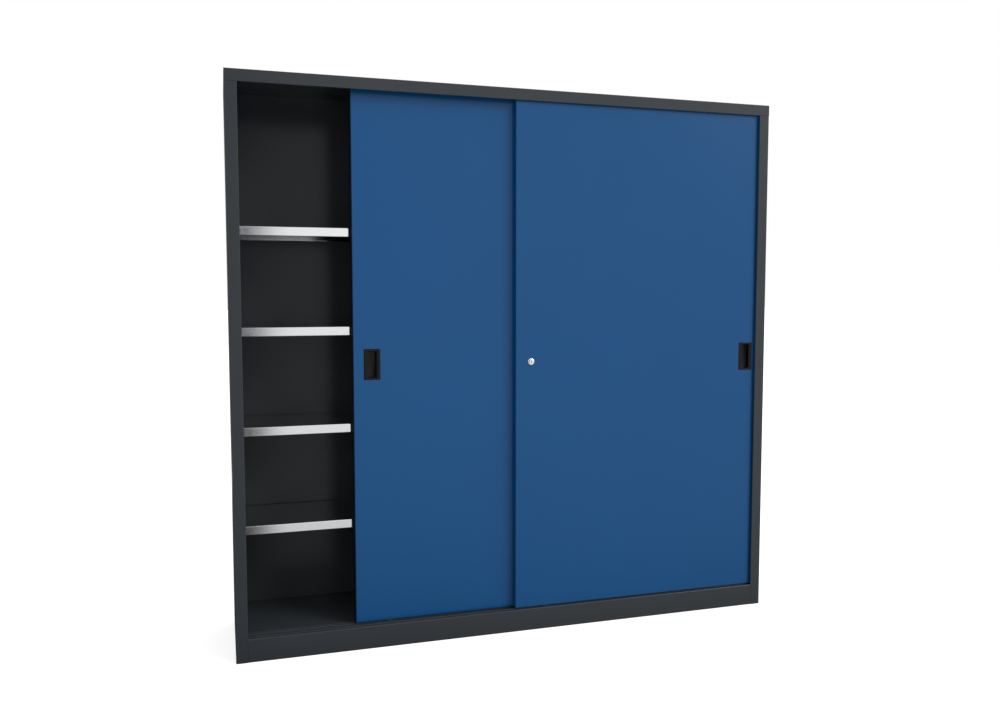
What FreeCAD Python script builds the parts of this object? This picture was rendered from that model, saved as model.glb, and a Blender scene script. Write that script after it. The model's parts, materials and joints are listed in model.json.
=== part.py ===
import FreeCAD, Part
import math
import os
import re

import Sketcher

# Steel cabinet with two sliding doors. Millimetres, +Z up, front towards -Y.
# The origin is the middle of the base, on the floor.

# Driving sizes: one row of the sheet each, as alias, value and meaning.
SIZES = [
    ("width", 2000, "overall width"),
    ("depth", 400, "overall depth"),
    ("height", 1950, "overall height"),
    ("sheet", 1, "thickness of the folded steel sheet"),
    ("bend_inside", 1, "inside radius of a fold"),
    ("stile_width", 40, "front face of a side panel"),
    ("stile_lip", 4, "depth of the lip behind the stile's and the rail's edge"),
    ("rear_flange", 20, "rear flange of a side panel"),
    ("rail_height", 40, "front and rear rail of the top panel"),
    ("top_flange", 20, "flanges of the top panel inside the side panels"),
    ("plinth_height", 80, "floor level above the base"),
    ("plinth_lip", 5, "top lip of the front plinth"),
    ("plinth_bend", 2.5, "inside radius of the front plinth's top fold"),
    ("base_flange", 15, "flanges along the base of the sides and plinths"),
    ("plinth_shelf", 40, "top flange of the rear plinth"),
    ("floor_flange", 20, "front flange of the floor panel"),
    ("back_recess", 12, "back panel's face in from the rear of the cabinet"),
    ("track_sunk", 7, "track's base below the floor level"),
    ("rib_width", 5, "running rib of the track"),
    ("rib_crown", 2, "round along both edges of a rib's crest"),
    ("track_margin", 3, "track behind the rear door"),
    ("front_setback", 12, "front door's face behind the cabinet's front"),
    ("door_thickness", 20, "depth of a door"),
    ("door_gap", 5, "between the two doors"),
    ("door_overlap", 33, "of the closed doors over each other"),
    ("door_inset", 13.5, "closed door's edge in from the cabinet's outer side"),
    ("door_lift", 3, "door's lower edge above the floor level"),
    ("door_headroom", 18, "door's upper edge below the cabinet's top"),
    ("door_flange", 15, "flange round the back of a door"),
    ("rear_door_open", 392.5, "rear door's shift from closed, as it stands"),
    ("stiffener_width", 80, "channel inside a door"),
    ("strip_thickness", 3, "edge strip, proud of the door's edge"),
    ("strip_round", 1.5, "round on the strip's outer corners"),
    ("wheel_inset", 120, "wheel and top guide in from the door's edges"),
    ("groove_radius", 12.7, "wheel, in its groove"),
    ("wheel_radius", 17.5, "wheel, over its flanges"),
    ("wheel_width", 10, "wheel, over its flanges"),
    ("wheel_to_rib", 0.3, "between the wheel's groove and the rib's crest"),
    ("groove_play", 0.5, "between the wheel's flanges and the rib, each side"),
    ("flank_slope", 1, "slope of each flank of the wheel's groove"),
    ("hub_radius", 6, "wheel's hub"),
    ("axle_radius", 3, "wheel's axle"),
    ("axle_head_radius", 4.5, "head of the axle"),
    ("axle_head_height", 1, "head of the axle, and its end past the bracket"),
    ("running_fit", 0.06, "radial clearance of a turning or sliding pin"),
    ("bracket_sheet", 1.5, "thickness of a roller bracket"),
    ("bracket_length", 60, "roller bracket along the door"),
    ("bracket_width", 15, "roller bracket over its cheeks"),
    ("bracket_height", 20, "cheeks of a roller bracket"),
    ("side_play", 0.4, "between a wheel's hub and the bracket's cheeks"),
    ("wheel_clearance", 1.5, "before and behind a wheel in the door and the bracket"),
    ("well_play", 0.75, "beside a wheel in the door and the bracket"),
    ("bracket_screw_radius", 2.4, "screw of a roller bracket"),
    ("bracket_screw_inset", 5.2, "screw in from an end of the bracket"),
    ("screw_play", 0.1, "radial clearance of a screw or bolt in its hole"),
    ("screw_head_radius", 4.2, "head of a bracket screw"),
    ("screw_head_height", 2.6, "head of a bracket screw"),
    ("guide_width", 8, "tongue of a top guide"),
    ("guide_length", 40, "tongue of a top guide"),
    ("guide_rise", 11, "tongue above the door"),
    ("guide_play", 0.5, "between the tongue and its rail, each side"),
    ("guide_block", 10, "foot of a top guide inside the door"),
    ("guide_foot_lip", 4, "foot of a top guide past its tongue"),
    ("rail_depth", 14, "guide rail below the top panel"),
    ("pull_width", 57, "rim of the flush pull"),
    ("pull_height", 107, "rim of the flush pull"),
    ("pull_rim", 1, "rim's thickness on the door"),
    ("pull_pocket_width", 30, "hollow of the pull"),
    ("pull_pocket_height", 92, "hollow of the pull"),
    ("pull_depth", 15, "hollow of the pull behind the door's face"),
    ("pull_wall", 2, "wall of the pull's cup"),
    ("pull_corner", 3, "corner radius of the rim and of the hollow"),
    ("pull_inset", 64, "middle of the pull from the door's leading edge"),
    ("pull_level", 989, "middle of the pull above the base"),
    ("cutout_play", 0.6, "round the pull in the door"),
    ("lock_inset", 57.5, "lock from the front door's trailing edge"),
    ("lock_level", 988, "lock above the base"),
    ("collar_radius", 12, "bright collar of the lock"),
    ("collar_height", 2.5, "collar proud of the door"),
    ("housing_radius", 10.5, "lock housing inside the door"),
    ("housing_end", 2.5, "rear wall of the lock housing"),
    ("lock_hole_play", 0.2, "round the lock housing in the door"),
    ("nut_height", 4, "lock housing's nut"),
    ("nut_radius", 16, "lock housing's nut, over its corners"),
    ("barrel_radius", 8, "push barrel's head"),
    ("barrel_shoulder", 1, "step from the barrel's head to its shoulder"),
    ("barrel_proud", 5.5, "barrel's head proud of the door"),
    ("shoulder_play", 0.3, "between the barrel's shoulder and the collar"),
    ("bolt_shy", 0.2, "bolt's end inside the door, as it stands"),
    ("shoulder_length", 5, "barrel's shoulder"),
    ("bolt_radius", 6, "barrel's tail, which is the bolt"),
    ("plug_radius", 5.5, "key plug"),
    ("plug_length", 10, "key plug"),
    ("plug_shy", 0.1, "key plug's face behind the barrel's"),
    ("plug_play", 0.5, "behind the key plug in the barrel"),
    ("keyhole_width", 2.4, "keyhole"),
    ("keyhole_height", 8, "keyhole"),
    ("keyhole_depth", 8, "keyhole"),
    ("spring_wire", 1.2, "wire of the return spring"),
    ("spring_turns", 3, "turns of the return spring"),
    ("keeper_reach", 12, "keeper past the rear door's edge"),
    ("keeper_depth", 4, "keeper forward of the rear door"),
    ("keeper_plate", 1.5, "keeper's plate on the rear door"),
    ("keeper_length", 25, "keeper's plate along the door"),
    ("keeper_height", 44, "keeper"),
    ("buffer_radius", 8, "door buffer"),
    ("buffer_play", 0.3, "between a buffer and a door that has come home"),
    ("buffer_inset", 80, "buffer in from a door's lower and upper edges"),
    ("shelf_gap", 14, "shelves and partition behind the track"),
    ("shelf_back_gap", 6, "between a shelf and the back panel"),
    ("shelf_height", 30, "lips of a shelf"),
    ("shelf_return", 12, "flange under a shelf's lip"),
    ("shelf_play", 1, "between a shelf and what stands at its ends"),
    ("shelf_levels", 4, "shelves in a bay"),
    ("slots_per_shelf", 9, "slots from one shelf to the next"),
    ("slot_pitch", 37.5, "between slots"),
    ("slot_first", 16.5, "lowest slot above the floor level"),
    ("slot_width", 4, "slot"),
    ("slot_height", 14, "slot"),
    ("clip_rise", 10, "shelf's top above the middle of its slot"),
    ("clip_plate", 1.5, "plate of a shelf clip"),
    ("clip_width", 16, "shelf clip"),
    ("clip_ledge", 14, "ledge of a shelf clip"),
    ("clip_hook", 3, "hook of a shelf clip, past the slotted sheet"),
    ("hook_width", 3, "hook of a shelf clip"),
    ("hook_height", 9, "hook of a shelf clip"),
    ("upright_width", 25, "slotted upright"),
    ("upright_depth", 14, "slotted upright"),
    ("upright_inset", 25, "upright's middle from a shelf's front or rear edge"),
    ("partition_width", 30, "centre partition"),
    ("partition_lip", 8, "rear lips of the partition"),
    ("stiffener_leg", 30, "flanges of a floor stiffener"),
    ("foot_plate", 80, "corner plate for a levelling foot"),
    ("foot_plate_sheet", 2, "corner plate for a levelling foot"),
    ("foot_inset", 40, "levelling foot's hole in from the outer faces"),
    ("foot_hole_radius", 5.5, "levelling foot's hole"),
    ("wall_hole_radius", 4, "holes for fixing to a wall"),
    ("wall_hole_spread", 900, "between the holes for fixing to a wall"),
    ("joint_bolts", 5, "bolts that join the back panels"),
    ("joint_bolt_radius", 2, "bolt of the back panels"),
    ("joint_head_radius", 3.4, "head and nut of that bolt"),
    ("joint_head_height", 3.2, "head and nut of that bolt"),
]

# Places worked out from the driving sizes.
PLACES = {
    "side_face": "width / 2 - sheet",
    "front": "-depth / 2",
    "back": "depth / 2",
    "back_face": "back - back_recess",
    "inside_back": "back - sheet - bend_inside",
    "rail_level": "height - rail_height",
    "ceiling": "height - sheet",
    "door_width": "(width + door_overlap) / 2 - door_inset",
    "door_height": "height - door_headroom - door_bottom",
    "door_bottom": "plinth_height + door_lift",
    "door_middle": "door_thickness / 2",
    "front_door_y": "front + front_setback",
    "rear_door_y": "front_door_y + door_thickness + door_gap",
    "front_door_x": "width / 2 - door_inset - door_width",
    "rear_door_x": "-width / 2 + door_inset + rear_door_open",
    "track_front": "front + plinth_lip - sheet",
    "track_back": "rear_door_y + door_thickness + track_margin",
    "track_base": "plinth_height - track_sunk",
    "axle_level": "plinth_height + wheel_to_rib + groove_radius",
    "guide_rail_half": "guide_width / 2 + guide_play",
    "shelf_front": "track_back + shelf_gap",
    "shelf_rear": "back_face - shelf_back_gap",
    "upright_face": "side_face - upright_depth",
    "stiffener_x": "width / 6",
    "partition_half": "partition_width / 2",
    "shelf_length": "upright_face - partition_half - 2 * shelf_play",
    "bay_middle": "(upright_face + partition_half) / 2",
    "slot_front_y": "shelf_front + upright_inset",
    "slot_rear_y": "shelf_rear - upright_inset",
    "first_slot_level": "plinth_height + slot_first",
    "shelf_spacing": "slots_per_shelf * slot_pitch",
    "wall_hole_level": "height - rail_height / 2",
    "shoulder_radius": "barrel_radius + barrel_shoulder",
    "shoulder_end": "shoulder_play + shoulder_length",
    "bolt_end": "door_thickness - bolt_shy",
}

document = FreeCAD.newDocument("SlidingDoorCabinet")
sheet = document.addObject("Spreadsheet::Sheet", "Sizes")
for row, (alias, number, meaning) in enumerate(SIZES, start=1):
    sheet.set(f"A{row}", meaning)
    sheet.set(f"B{row}", str(number))
    sheet.setAlias(f"B{row}", alias)
document.recompute()

ALIASES = {alias for alias, number, meaning in SIZES}
sub_parts = []


# ---------------------------------------------------------------- formulas

def formula(text):
    """Write a size out in full, as an expression on the sheet's cells."""
    def written_out(match):
        word = match.group(0)
        if word in PLACES:
            return f"({formula(PLACES[word])})"
        return f"Sizes.{word}" if word in ALIASES else word
    return re.sub(r"[a-z]\w*", written_out, str(text))


def value(text):
    return float(sheet.evalExpression(formula(text)))


def bind(thing, prop, text):
    thing.setExpression(prop, formula(text))


def place(thing, x="0", y="0", z="0"):
    for axis, text in zip("xyz", (x, y, z)):
        bind(thing, f"Placement.Base.{axis}", text)


def plus(text, more):
    return f"({text}) + ({more})"


def minus(text, less):
    return f"({text}) - ({less})"


# ------------------------------------------------------- sketched features

NEAR = 1e-4  # places closer than this are one


def index_of(axis):
    return "XYZ".index(axis)


def points_back(plane):
    """The XZ plane's normal points towards -Y; the other two follow their axes."""
    return plane == "XZ"


def origin_feature(body, role):
    return next(item for item in body.Origin.OriginFeatures if item.Role == role)


def new_body(label, several=False):
    body = document.addObject("PartDesign::Body", label)
    body.Label = label
    body.AllowCompound = several
    sub_parts.append(body)
    return body


def rectangle(left, right, low, high):
    return [(left, low), (right, low), (right, high), (left, high)]


def draw(body, plane, level, outlines, circles=()):
    """Sketch closed outlines and circles on a plane of the body, all bound to the sheet."""
    sketch = body.newObject("Sketcher::SketchObject", f"{body.Name}_Sketch")
    sketch.AttachmentSupport = [(origin_feature(body, f"{plane}_Plane"), "")]
    sketch.MapMode = "FlatFace"
    bind(sketch, "AttachmentOffset.Base.z", f"-({level})" if points_back(plane) else level)

    def tie(kind, element, point, text):
        index = sketch.addConstraint(Sketcher.Constraint(kind, -1, 1, element, point, value(text)))
        bind(sketch, f"Constraints[{index}]", text)

    for outline in outlines:
        first = sketch.GeometryCount
        corners = [FreeCAD.Vector(value(across), value(along), 0) for across, along in outline]
        for start, end in zip(corners, corners[1:] + corners[:1]):
            sketch.addGeometry(Part.LineSegment(start, end), False)
        for step, (across, along) in enumerate(outline):
            following = first + (step + 1) % len(outline)
            sketch.addConstraint(Sketcher.Constraint("Coincident", first + step, 2, following, 1))
            tie("DistanceX", first + step, 1, across)
            tie("DistanceY", first + step, 1, along)
    for across, along, radius in circles:
        element = sketch.GeometryCount
        middle = FreeCAD.Vector(value(across), value(along), 0)
        sketch.addGeometry(Part.Circle(middle, FreeCAD.Vector(0, 0, 1), value(radius)), False)
        tie("DistanceX", element, 3, across)
        tie("DistanceY", element, 3, along)
        index = sketch.addConstraint(Sketcher.Constraint("Radius", element, value(radius)))
        bind(sketch, f"Constraints[{index}]", radius)
    return sketch


def add(body, plane, start, end, outlines, circles=()):
    """Pad the outlines from one level to another along the plane's normal axis."""
    sketch = draw(body, plane, start, outlines, circles)
    pad = body.newObject("PartDesign::Pad", f"{body.Name}_Pad")
    pad.Profile = sketch
    pad.Reversed = points_back(plane)
    bind(pad, "Length", minus(end, start))
    document.recompute()
    return pad


def cut(body, plane, start, end, outlines, circles=()):
    """Pocket the outlines from one level to another, and make sure that something went."""
    before = body.Shape.Volume
    sketch = draw(body, plane, start, outlines, circles)
    pocket = body.newObject("PartDesign::Pocket", f"{body.Name}_Pocket")
    pocket.Profile = sketch
    pocket.Reversed = not points_back(plane)
    bind(pocket, "Length", minus(end, start))
    document.recompute()
    if not body.Shape.Volume < before:
        raise ValueError(f"{body.Label}: a pocket cuts nothing")
    return pocket


def turned(body, profile):
    """Revolve a profile of (place along Y, radius) corners about the body's Y axis."""
    sketch = draw(body, "YZ", "0", [profile])
    solid = body.newObject("PartDesign::Revolution", f"{body.Name}_Turned")
    solid.Profile = sketch
    solid.ReferenceAxis = (sketch, ["H_Axis"])
    document.recompute()
    return solid


def edges_through(shape, plane, places):
    """Straight edges, square to a sketch plane, that pass through the given places on it."""
    targets = [[value(text) for text in pair] for pair in places]
    names = []
    for number, edge in enumerate(shape.Edges, start=1):
        ends = [vertex.Point for vertex in edge.Vertexes]
        for target in targets:
            if len(ends) == 2 and all(abs(end[index_of(axis)] - goal) < NEAR
                                      for end in ends for axis, goal in zip(plane, target)):
                names.append(f"Edge{number}")
    return names


def round_corners(body, plane, places, radius):
    """Round the edges that run square to a plane at the given places."""
    return round_edges(body, edges_through(body.Shape, plane, places), radius)


def round_edges(body, names, radius):
    base = body.Tip
    fillet = body.newObject("PartDesign::Fillet", f"{body.Name}_Round")
    fillet.Base = (base, names)
    bind(fillet, "Radius", radius)
    document.recompute()
    return fillet


def edges_in(shape, axis, level, sides):
    """Edges at a level of an axis that run along a side of a rectangle there.

    sides gives the places of the rectangle's sides on each of the other two axes.
    """
    def all_at(points, along, text):
        return all(abs(point[index_of(along)] - value(text)) < NEAR for point in points)

    names = []
    for number, edge in enumerate(shape.Edges, start=1):
        points = [vertex.Point for vertex in edge.Vertexes]
        if all_at(points, axis, level):
            if any(all_at(points, other, side) for other, pair in sides.items() for side in pair):
                names.append(f"Edge{number}")
    return names


def fold(body, plane, start, end, path, side, thickness="sheet", inside="bend_inside"):
    """Pad a folded strip: its outer line is the path, its metal lies on one side of it.

    side is 1 where the metal lies to the left of the path, -1 to the right.
    All folds are square, and each gets its inner and its outer radius; inside
    is the inner radius of all folds, or a list with the radius of each.
    """
    radii = [inside] * (len(path) - 2) if isinstance(inside, str) else inside
    corners = [(value(across), value(along)) for across, along in path]
    normals = []
    for (x1, y1), (x2, y2) in zip(corners, corners[1:]):
        length = math.hypot(x2 - x1, y2 - y1)
        normals.append((round(-side * (y2 - y1) / length), round(side * (x2 - x1) / length)))
    offsets = [normals[0]]
    offsets += [(a[0] + b[0], a[1] + b[1]) for a, b in zip(normals, normals[1:])]
    offsets.append(normals[-1])
    inner = [(plus(across, f"{dx} * {thickness}"), plus(along, f"{dy} * {thickness}"))
             for (across, along), (dx, dy) in zip(path, offsets)]
    add(body, plane, start, end, [path + inner[::-1]])

    for radius in sorted(set(radii)):
        wide, tight = [], []
        for index in range(1, len(path) - 1):
            if radii[index - 1] != radius:
                continue
            (x0, y0), (x1, y1), (x2, y2) = corners[index - 1:index + 2]
            turn = side * ((x1 - x0) * (y2 - y1) - (y1 - y0) * (x2 - x1))
            wide.append(path[index] if turn > 0 else inner[index])
            tight.append(inner[index] if turn > 0 else path[index])
        round_corners(body, plane, wide, f"{radius} + {thickness}")
        round_corners(body, plane, tight, radius)
    return body


# ------------------------------------------------------ primitives, groups

TURNS = {"X": FreeCAD.Rotation(FreeCAD.Vector(0, 1, 0), 90),
         "Y": FreeCAD.Rotation(FreeCAD.Vector(1, 0, 0), -90),
         "Z": FreeCAD.Rotation()}


def block(name, x, y, z):
    """A box from its lowest and highest place along each axis."""
    thing = document.addObject("Part::Box", name)
    for prop, (low, high) in zip(("Length", "Width", "Height"), (x, y, z)):
        bind(thing, prop, minus(high, low))
    place(thing, x[0], y[0], z[0])
    return thing


def span(start, sense, near, far):
    """Two places at distances from a start, one way or the other, the lower one first."""
    return sorted((plus(start, f"{sense} * ({near})"), plus(start, f"{sense} * ({far})")), key=value)


def rod(name, axis, radius, length, x, y, z):
    thing = document.addObject("Part::Cylinder", name)
    thing.Placement = FreeCAD.Placement(FreeCAD.Vector(), TURNS[axis])
    bind(thing, "Radius", radius)
    bind(thing, "Height", length)
    place(thing, x, y, z)
    return thing


def hexagon(name, axis, radius, length, x, y, z):
    thing = document.addObject("Part::Prism", name)
    thing.Placement = FreeCAD.Placement(FreeCAD.Vector(), TURNS[axis])
    thing.Polygon = 6
    bind(thing, "Circumradius", radius)
    bind(thing, "Height", length)
    place(thing, x, y, z)
    return thing


def joined(name, pieces):
    thing = document.addObject("Part::MultiFuse", name)
    thing.Shapes = pieces
    return thing


def bored(name, base, tool):
    thing = document.addObject("Part::Cut", name)
    thing.Base = base
    thing.Tool = tool
    return thing


def group(label, pieces):
    """Identical pieces as separate solids of one sub-part."""
    thing = document.addObject("Part::Compound", label)
    thing.Label = label
    thing.Links = pieces
    sub_parts.append(thing)
    return thing


# ----------------------------------------------------------------- carcass

def side_panel(label, s):
    """s is -1 for the left side and 1 for the right one."""
    body = new_body(label)
    stile_edge = f"{s} * (width / 2 - stile_width)"
    outer = f"{s} * width / 2"
    path = [(stile_edge, "front + stile_lip"), (stile_edge, "front"), (outer, "front"),
            (outer, "back"), (f"{s} * (width / 2 - rear_flange)", "back")]
    fold(body, "XY", "0", "ceiling", path, s)
    # Above the rail's lower edge the top panel takes over both flanges.
    front_strip = rectangle("-width", "width", "front - sheet", "front + stile_lip")
    rear_strip = rectangle("-width", "width", "inside_back", "back + sheet")
    cut(body, "XY", "rail_level", "height", [front_strip, rear_strip])
    edge = sorted((f"{s} * side_face", f"{s} * (side_face - base_flange)"), key=value)
    add(body, "XY", "0", "sheet", [rectangle(*edge, "front + base_flange", "back - rear_flange")])
    return body


def top_panel():
    body = new_body("top_panel")
    path = [("front + stile_lip", "rail_level"), ("front", "rail_level"), ("front", "height"),
            ("back", "height"), ("back", "rail_level")]
    fold(body, "YZ", "-width / 2", "width / 2", path, -1)
    for s in (-1, 1):
        edge = sorted((f"{s} * side_face", f"{s} * (side_face - sheet)"), key=value)
        strip = rectangle(*edge, "front + stile_lip + sheet", "back_face")
        add(body, "XY", "ceiling - top_flange", "ceiling", [strip])
    holes = [(f"{s} * wall_hole_spread / 2", "wall_hole_level", "wall_hole_radius") for s in (-1, 1)]
    cut(body, "XZ", "back - 2 * sheet", "back + sheet", [], holes)
    return body


def floor_panel():
    body = new_body("floor_panel")
    path = [("track_back", "plinth_height - floor_flange"), ("track_back", "plinth_height"),
            ("inside_back", "plinth_height")]
    return fold(body, "YZ", "-side_face", "side_face", path, -1)


def bottom_track():
    """Base with an upstand at each side and the two ribs that the wheels run on."""
    body = new_body("bottom_track")
    top = "plinth_height - sheet"
    path = [("track_front", top), ("track_front", "track_base"),
            ("track_back", "track_base"), ("track_back", top)]
    fold(body, "YZ", "-side_face", "side_face", path, 1)
    for door_y in ("front_door_y", "rear_door_y"):
        low = f"{door_y} + door_middle - rib_width / 2"
        high = f"{door_y} + door_middle + rib_width / 2"
        outline = rectangle(low, high, "track_base + sheet", "plinth_height")
        add(body, "YZ", "-side_face", "side_face", [outline])
        round_corners(body, "YZ", [(low, "plinth_height"), (high, "plinth_height")], "rib_crown")
    return body


def front_plinth():
    body = new_body("front_plinth")
    ends = ("stile_width - width / 2", "width / 2 - stile_width")
    path = [("front + base_flange", "0"), ("front", "0"), ("front", "plinth_height"),
            ("front + plinth_lip", "plinth_height")]
    return fold(body, "YZ", *ends, path, -1, inside=["bend_inside", "plinth_bend"])


def rear_plinth():
    body = new_body("rear_plinth")
    top = "plinth_height - sheet"
    path = [("back - base_flange", "0"), ("back", "0"), ("back", top), ("back - plinth_shelf", top)]
    return fold(body, "YZ", "rear_flange - width / 2", "width / 2 - rear_flange", path, 1)


def floor_stiffeners():
    """Two channels from front to rear, standing under the floor panel."""
    body = new_body("floor_stiffeners", several=True)
    top = "plinth_height - sheet"
    for s in (-1, 1):
        web = f"{s} * stiffener_x"
        far = f"{s} * (stiffener_x - stiffener_leg)"
        path = [(far, "0"), (web, "0"), (web, top), (far, top)]
        fold(body, "XZ", "track_back + sheet + bend_inside", "back - plinth_shelf", path, s)
    return body


def foot_plates():
    """Corner plates on the base flanges, each with the hole for a levelling foot."""
    body = new_body("foot_plates", several=True)
    outlines, holes = [], []
    for sx in (-1, 1):
        for sy in (-1, 1):
            across = sorted((f"{sx} * side_face", f"{sx} * (side_face - foot_plate)"), key=value)
            along = sorted((f"{sy} * (depth / 2 - stile_lip)",
                            f"{sy} * (depth / 2 - stile_lip - foot_plate)"), key=value)
            outlines.append(rectangle(*across, *along))
            holes.append((f"{sx} * (width / 2 - foot_inset)", f"{sy} * (depth / 2 - foot_inset)",
                          "foot_hole_radius"))
    add(body, "XY", "sheet", "sheet + foot_plate_sheet", outlines)
    cut(body, "XY", "0", "2 * sheet + foot_plate_sheet", [], holes)
    return body


def joint_bolt_levels():
    """Heights of the bolts that join the back panels, spread evenly."""
    count = round(value("joint_bolts"))
    span = "(ceiling - plinth_height)"
    return [f"plinth_height + {span} * {2 * step + 1} / {2 * count}" for step in range(count)]


JOINT_BOLT_Y = "(back_face + sheet + inside_back) / 2"


def back_panel(label, s):
    """A shallow tray, its face inwards; s is -1 for the left one."""
    body = new_body(label)
    path = [(f"{s} * side_face", "inside_back"), (f"{s} * side_face", "back_face"),
            ("0", "back_face"), ("0", "inside_back")]
    fold(body, "XY", "plinth_height", "ceiling", path, -s)
    across = sorted((f"{s} * (side_face - sheet)", f"{s} * sheet"), key=value)
    flange = [rectangle(*across, "back_face + sheet", "inside_back")]
    add(body, "XY", "plinth_height", "plinth_height + sheet", flange)
    add(body, "XY", "ceiling - sheet", "ceiling", flange)
    hole = (f"{s} * wall_hole_spread / 2", "wall_hole_level", "wall_hole_radius")
    cut(body, "XZ", "back_face - sheet", "back_face + 2 * sheet", [], [hole])
    bolts = [(JOINT_BOLT_Y, level, "joint_bolt_radius + screw_play") for level in joint_bolt_levels()]
    edge = sorted(("0", f"{s} * 2 * sheet"), key=value)
    cut(body, "YZ", *edge, [], bolts)
    return body


def back_joints():
    """Bolts from the left tray's edge flange through the right one's, and their nuts."""
    bolts, nuts = [], []
    for step, level in enumerate(joint_bolt_levels(), start=1):
        head = rod(f"BoltHead{step}", "X", "joint_head_radius", "joint_head_height",
                   "-sheet - joint_head_height", JOINT_BOLT_Y, level)
        shank = rod(f"BoltShank{step}", "X", "joint_bolt_radius", "2 * sheet + 2 * joint_head_height",
                    "-sheet - joint_head_height / 2", JOINT_BOLT_Y, level)
        bolts.append(joined(f"Bolt{step}", [head, shank]))
        blank = hexagon(f"NutBlank{step}", "X", "joint_head_radius", "joint_head_height",
                        "sheet", JOINT_BOLT_Y, level)
        bore = rod(f"NutBore{step}", "X", "joint_bolt_radius + screw_play", "2 * joint_head_height",
                   "sheet - joint_head_height / 2", JOINT_BOLT_Y, level)
        nuts.append(bored(f"Nut{step}", blank, bore))
    group("back_joint_bolts", bolts)
    group("back_joint_nuts", nuts)


def slots(body, plane_range, places):
    """A row of slots up the height of a sheet, square to X, at the given places along Y."""
    outlines = [rectangle(f"{y} - slot_width / 2", f"{y} + slot_width / 2",
                          "first_slot_level - slot_height / 2", "first_slot_level + slot_height / 2")
                for y in places]
    lowest = cut(body, "YZ", *plane_range, outlines)
    row = body.newObject("PartDesign::LinearPattern", f"{body.Name}_Slots")
    row.Originals = [lowest]
    row.Direction = (origin_feature(body, "Z_Axis"), [""])
    row.Mode = "Spacing"
    bind(row, "Offset", "slot_pitch")
    row_height = "ceiling - top_flange - slot_height - first_slot_level"
    bind(row, "Occurrences", f"floor(({row_height}) / slot_pitch) + 1")
    body.Tip = row
    document.recompute()
    return row


def partition():
    body = new_body("partition")
    path = [("partition_lip - partition_half", "back_face"), ("-partition_half", "back_face"),
            ("-partition_half", "shelf_front"), ("partition_half", "shelf_front"),
            ("partition_half", "back_face"), ("partition_half - partition_lip", "back_face")]
    fold(body, "XY", "plinth_height", "ceiling", path, 1)
    slots(body, ("-partition_width", "partition_width"), ("slot_front_y", "slot_rear_y"))
    return body


def upright(label, s, middle):
    """Channel fixed to a side panel, its slotted face towards the bay."""
    body = new_body(label)
    near, far = f"{middle} - upright_width / 2", f"{middle} + upright_width / 2"
    path = [(f"{s} * side_face", near), (f"{s} * upright_face", near),
            (f"{s} * upright_face", far), (f"{s} * side_face", far)]
    fold(body, "XY", "plinth_height", "ceiling - top_flange", path, -s)
    reach = sorted((f"{s} * (upright_face - sheet)", f"{s} * (upright_face + 2 * sheet)"), key=value)
    slots(body, reach, (middle,))
    return body


def shelf_level(step):
    return f"first_slot_level + clip_rise + {step} * shelf_spacing"


def shelf(label, s, step):
    """A tray, open downwards and at both ends; s is -1 in the left bay."""
    body = new_body(label)
    path = [("shelf_front + shelf_return", "-shelf_height"), ("shelf_front", "-shelf_height"),
            ("shelf_front", "0"), ("shelf_rear", "0"), ("shelf_rear", "-shelf_height"),
            ("shelf_rear - shelf_return", "-shelf_height")]
    fold(body, "YZ", "-shelf_length / 2", "shelf_length / 2", path, -1)
    place(body, f"{s} * bay_middle", "0", shelf_level(step))
    return body


def shelf_clips(label, s):
    """Hooked ledges, four under each shelf of a bay; s is -1 in the left bay."""
    clips = []
    # Each end of the bay: the slotted face that the clips hang on and the way into the bay.
    ends = (("upright", f"{s} * upright_face", -s), ("partition", f"{s} * partition_half", s))
    for step in range(1, round(value("shelf_levels")) + 1):
        under = minus(shelf_level(step), "sheet")
        slot = minus(shelf_level(step), "clip_rise")
        for end, face, inward in ends:
            for side, y in (("Front", "slot_front_y"), ("Rear", "slot_rear_y")):
                name = f"{label}_{end}{side}{step}"
                breadth = (minus(y, "clip_width / 2"), plus(y, "clip_width / 2"))
                ledge = block(name + "Ledge", span(face, inward, "0", "clip_ledge"), breadth,
                              (minus(under, "clip_plate"), under))
                plate = block(name + "Plate", span(face, inward, "0", "clip_plate"), breadth,
                              (minus(slot, "slot_height / 2 + clip_plate"), under))
                hook = block(name + "Hook", span(face, inward, "-sheet - clip_hook", "0"),
                             (minus(y, "hook_width / 2"), plus(y, "hook_width / 2")),
                             (minus(slot, "hook_height / 2"), plus(slot, "hook_height / 2")))
                clips.append(joined(name, [ledge, plate, hook]))
    return group(label, clips)


def guide_rail(label, door_y):
    """Inverted channel under the top panel, for the tongues on a door's top."""
    body = new_body(label)
    near = f"{door_y} + door_middle - guide_rail_half - sheet"
    far = f"{door_y} + door_middle + guide_rail_half + sheet"
    low = "ceiling - rail_depth"
    path = [(near, low), (near, "ceiling"), (far, "ceiling"), (far, low)]
    return fold(body, "YZ", "sheet - side_face", "side_face - sheet", path, -1)


def buffers(label, homes):
    """Rubber studs on the side panels; homes gives each stud's side, door and thickness."""
    studs = []
    for s, door_y, thickness in homes:
        start = f"{s} * side_face" if s < 0 else f"side_face - ({thickness})"
        levels = ("door_bottom + buffer_inset", "door_bottom + door_height - buffer_inset")
        for number, level in enumerate(levels, start=1):
            studs.append(rod(f"{label}_{'left' if s < 0 else 'right'}{number}", "X", "buffer_radius",
                             thickness, start, f"{door_y} + door_middle", level))
    return group(label, studs)


# ------------------------------------------------------------------- doors

class Door:
    """One door's place; lead is the side of its leading edge, -1 for left and 1 for right."""

    def __init__(self, name, lead, x, y):
        self.name = name
        self.lead = lead
        self.x = x
        self.y = y

    def across(self, inset):
        """A place along the door, measured in from its leading edge."""
        return inset if self.lead < 0 else minus("door_width", inset)

    def place(self, thing, across="0", up="0"):
        """Put a thing drawn round its own origin on the door's face, in from its left edge."""
        place(thing, plus(self.x, across), self.y, plus("door_bottom", up))
        return thing


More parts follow.
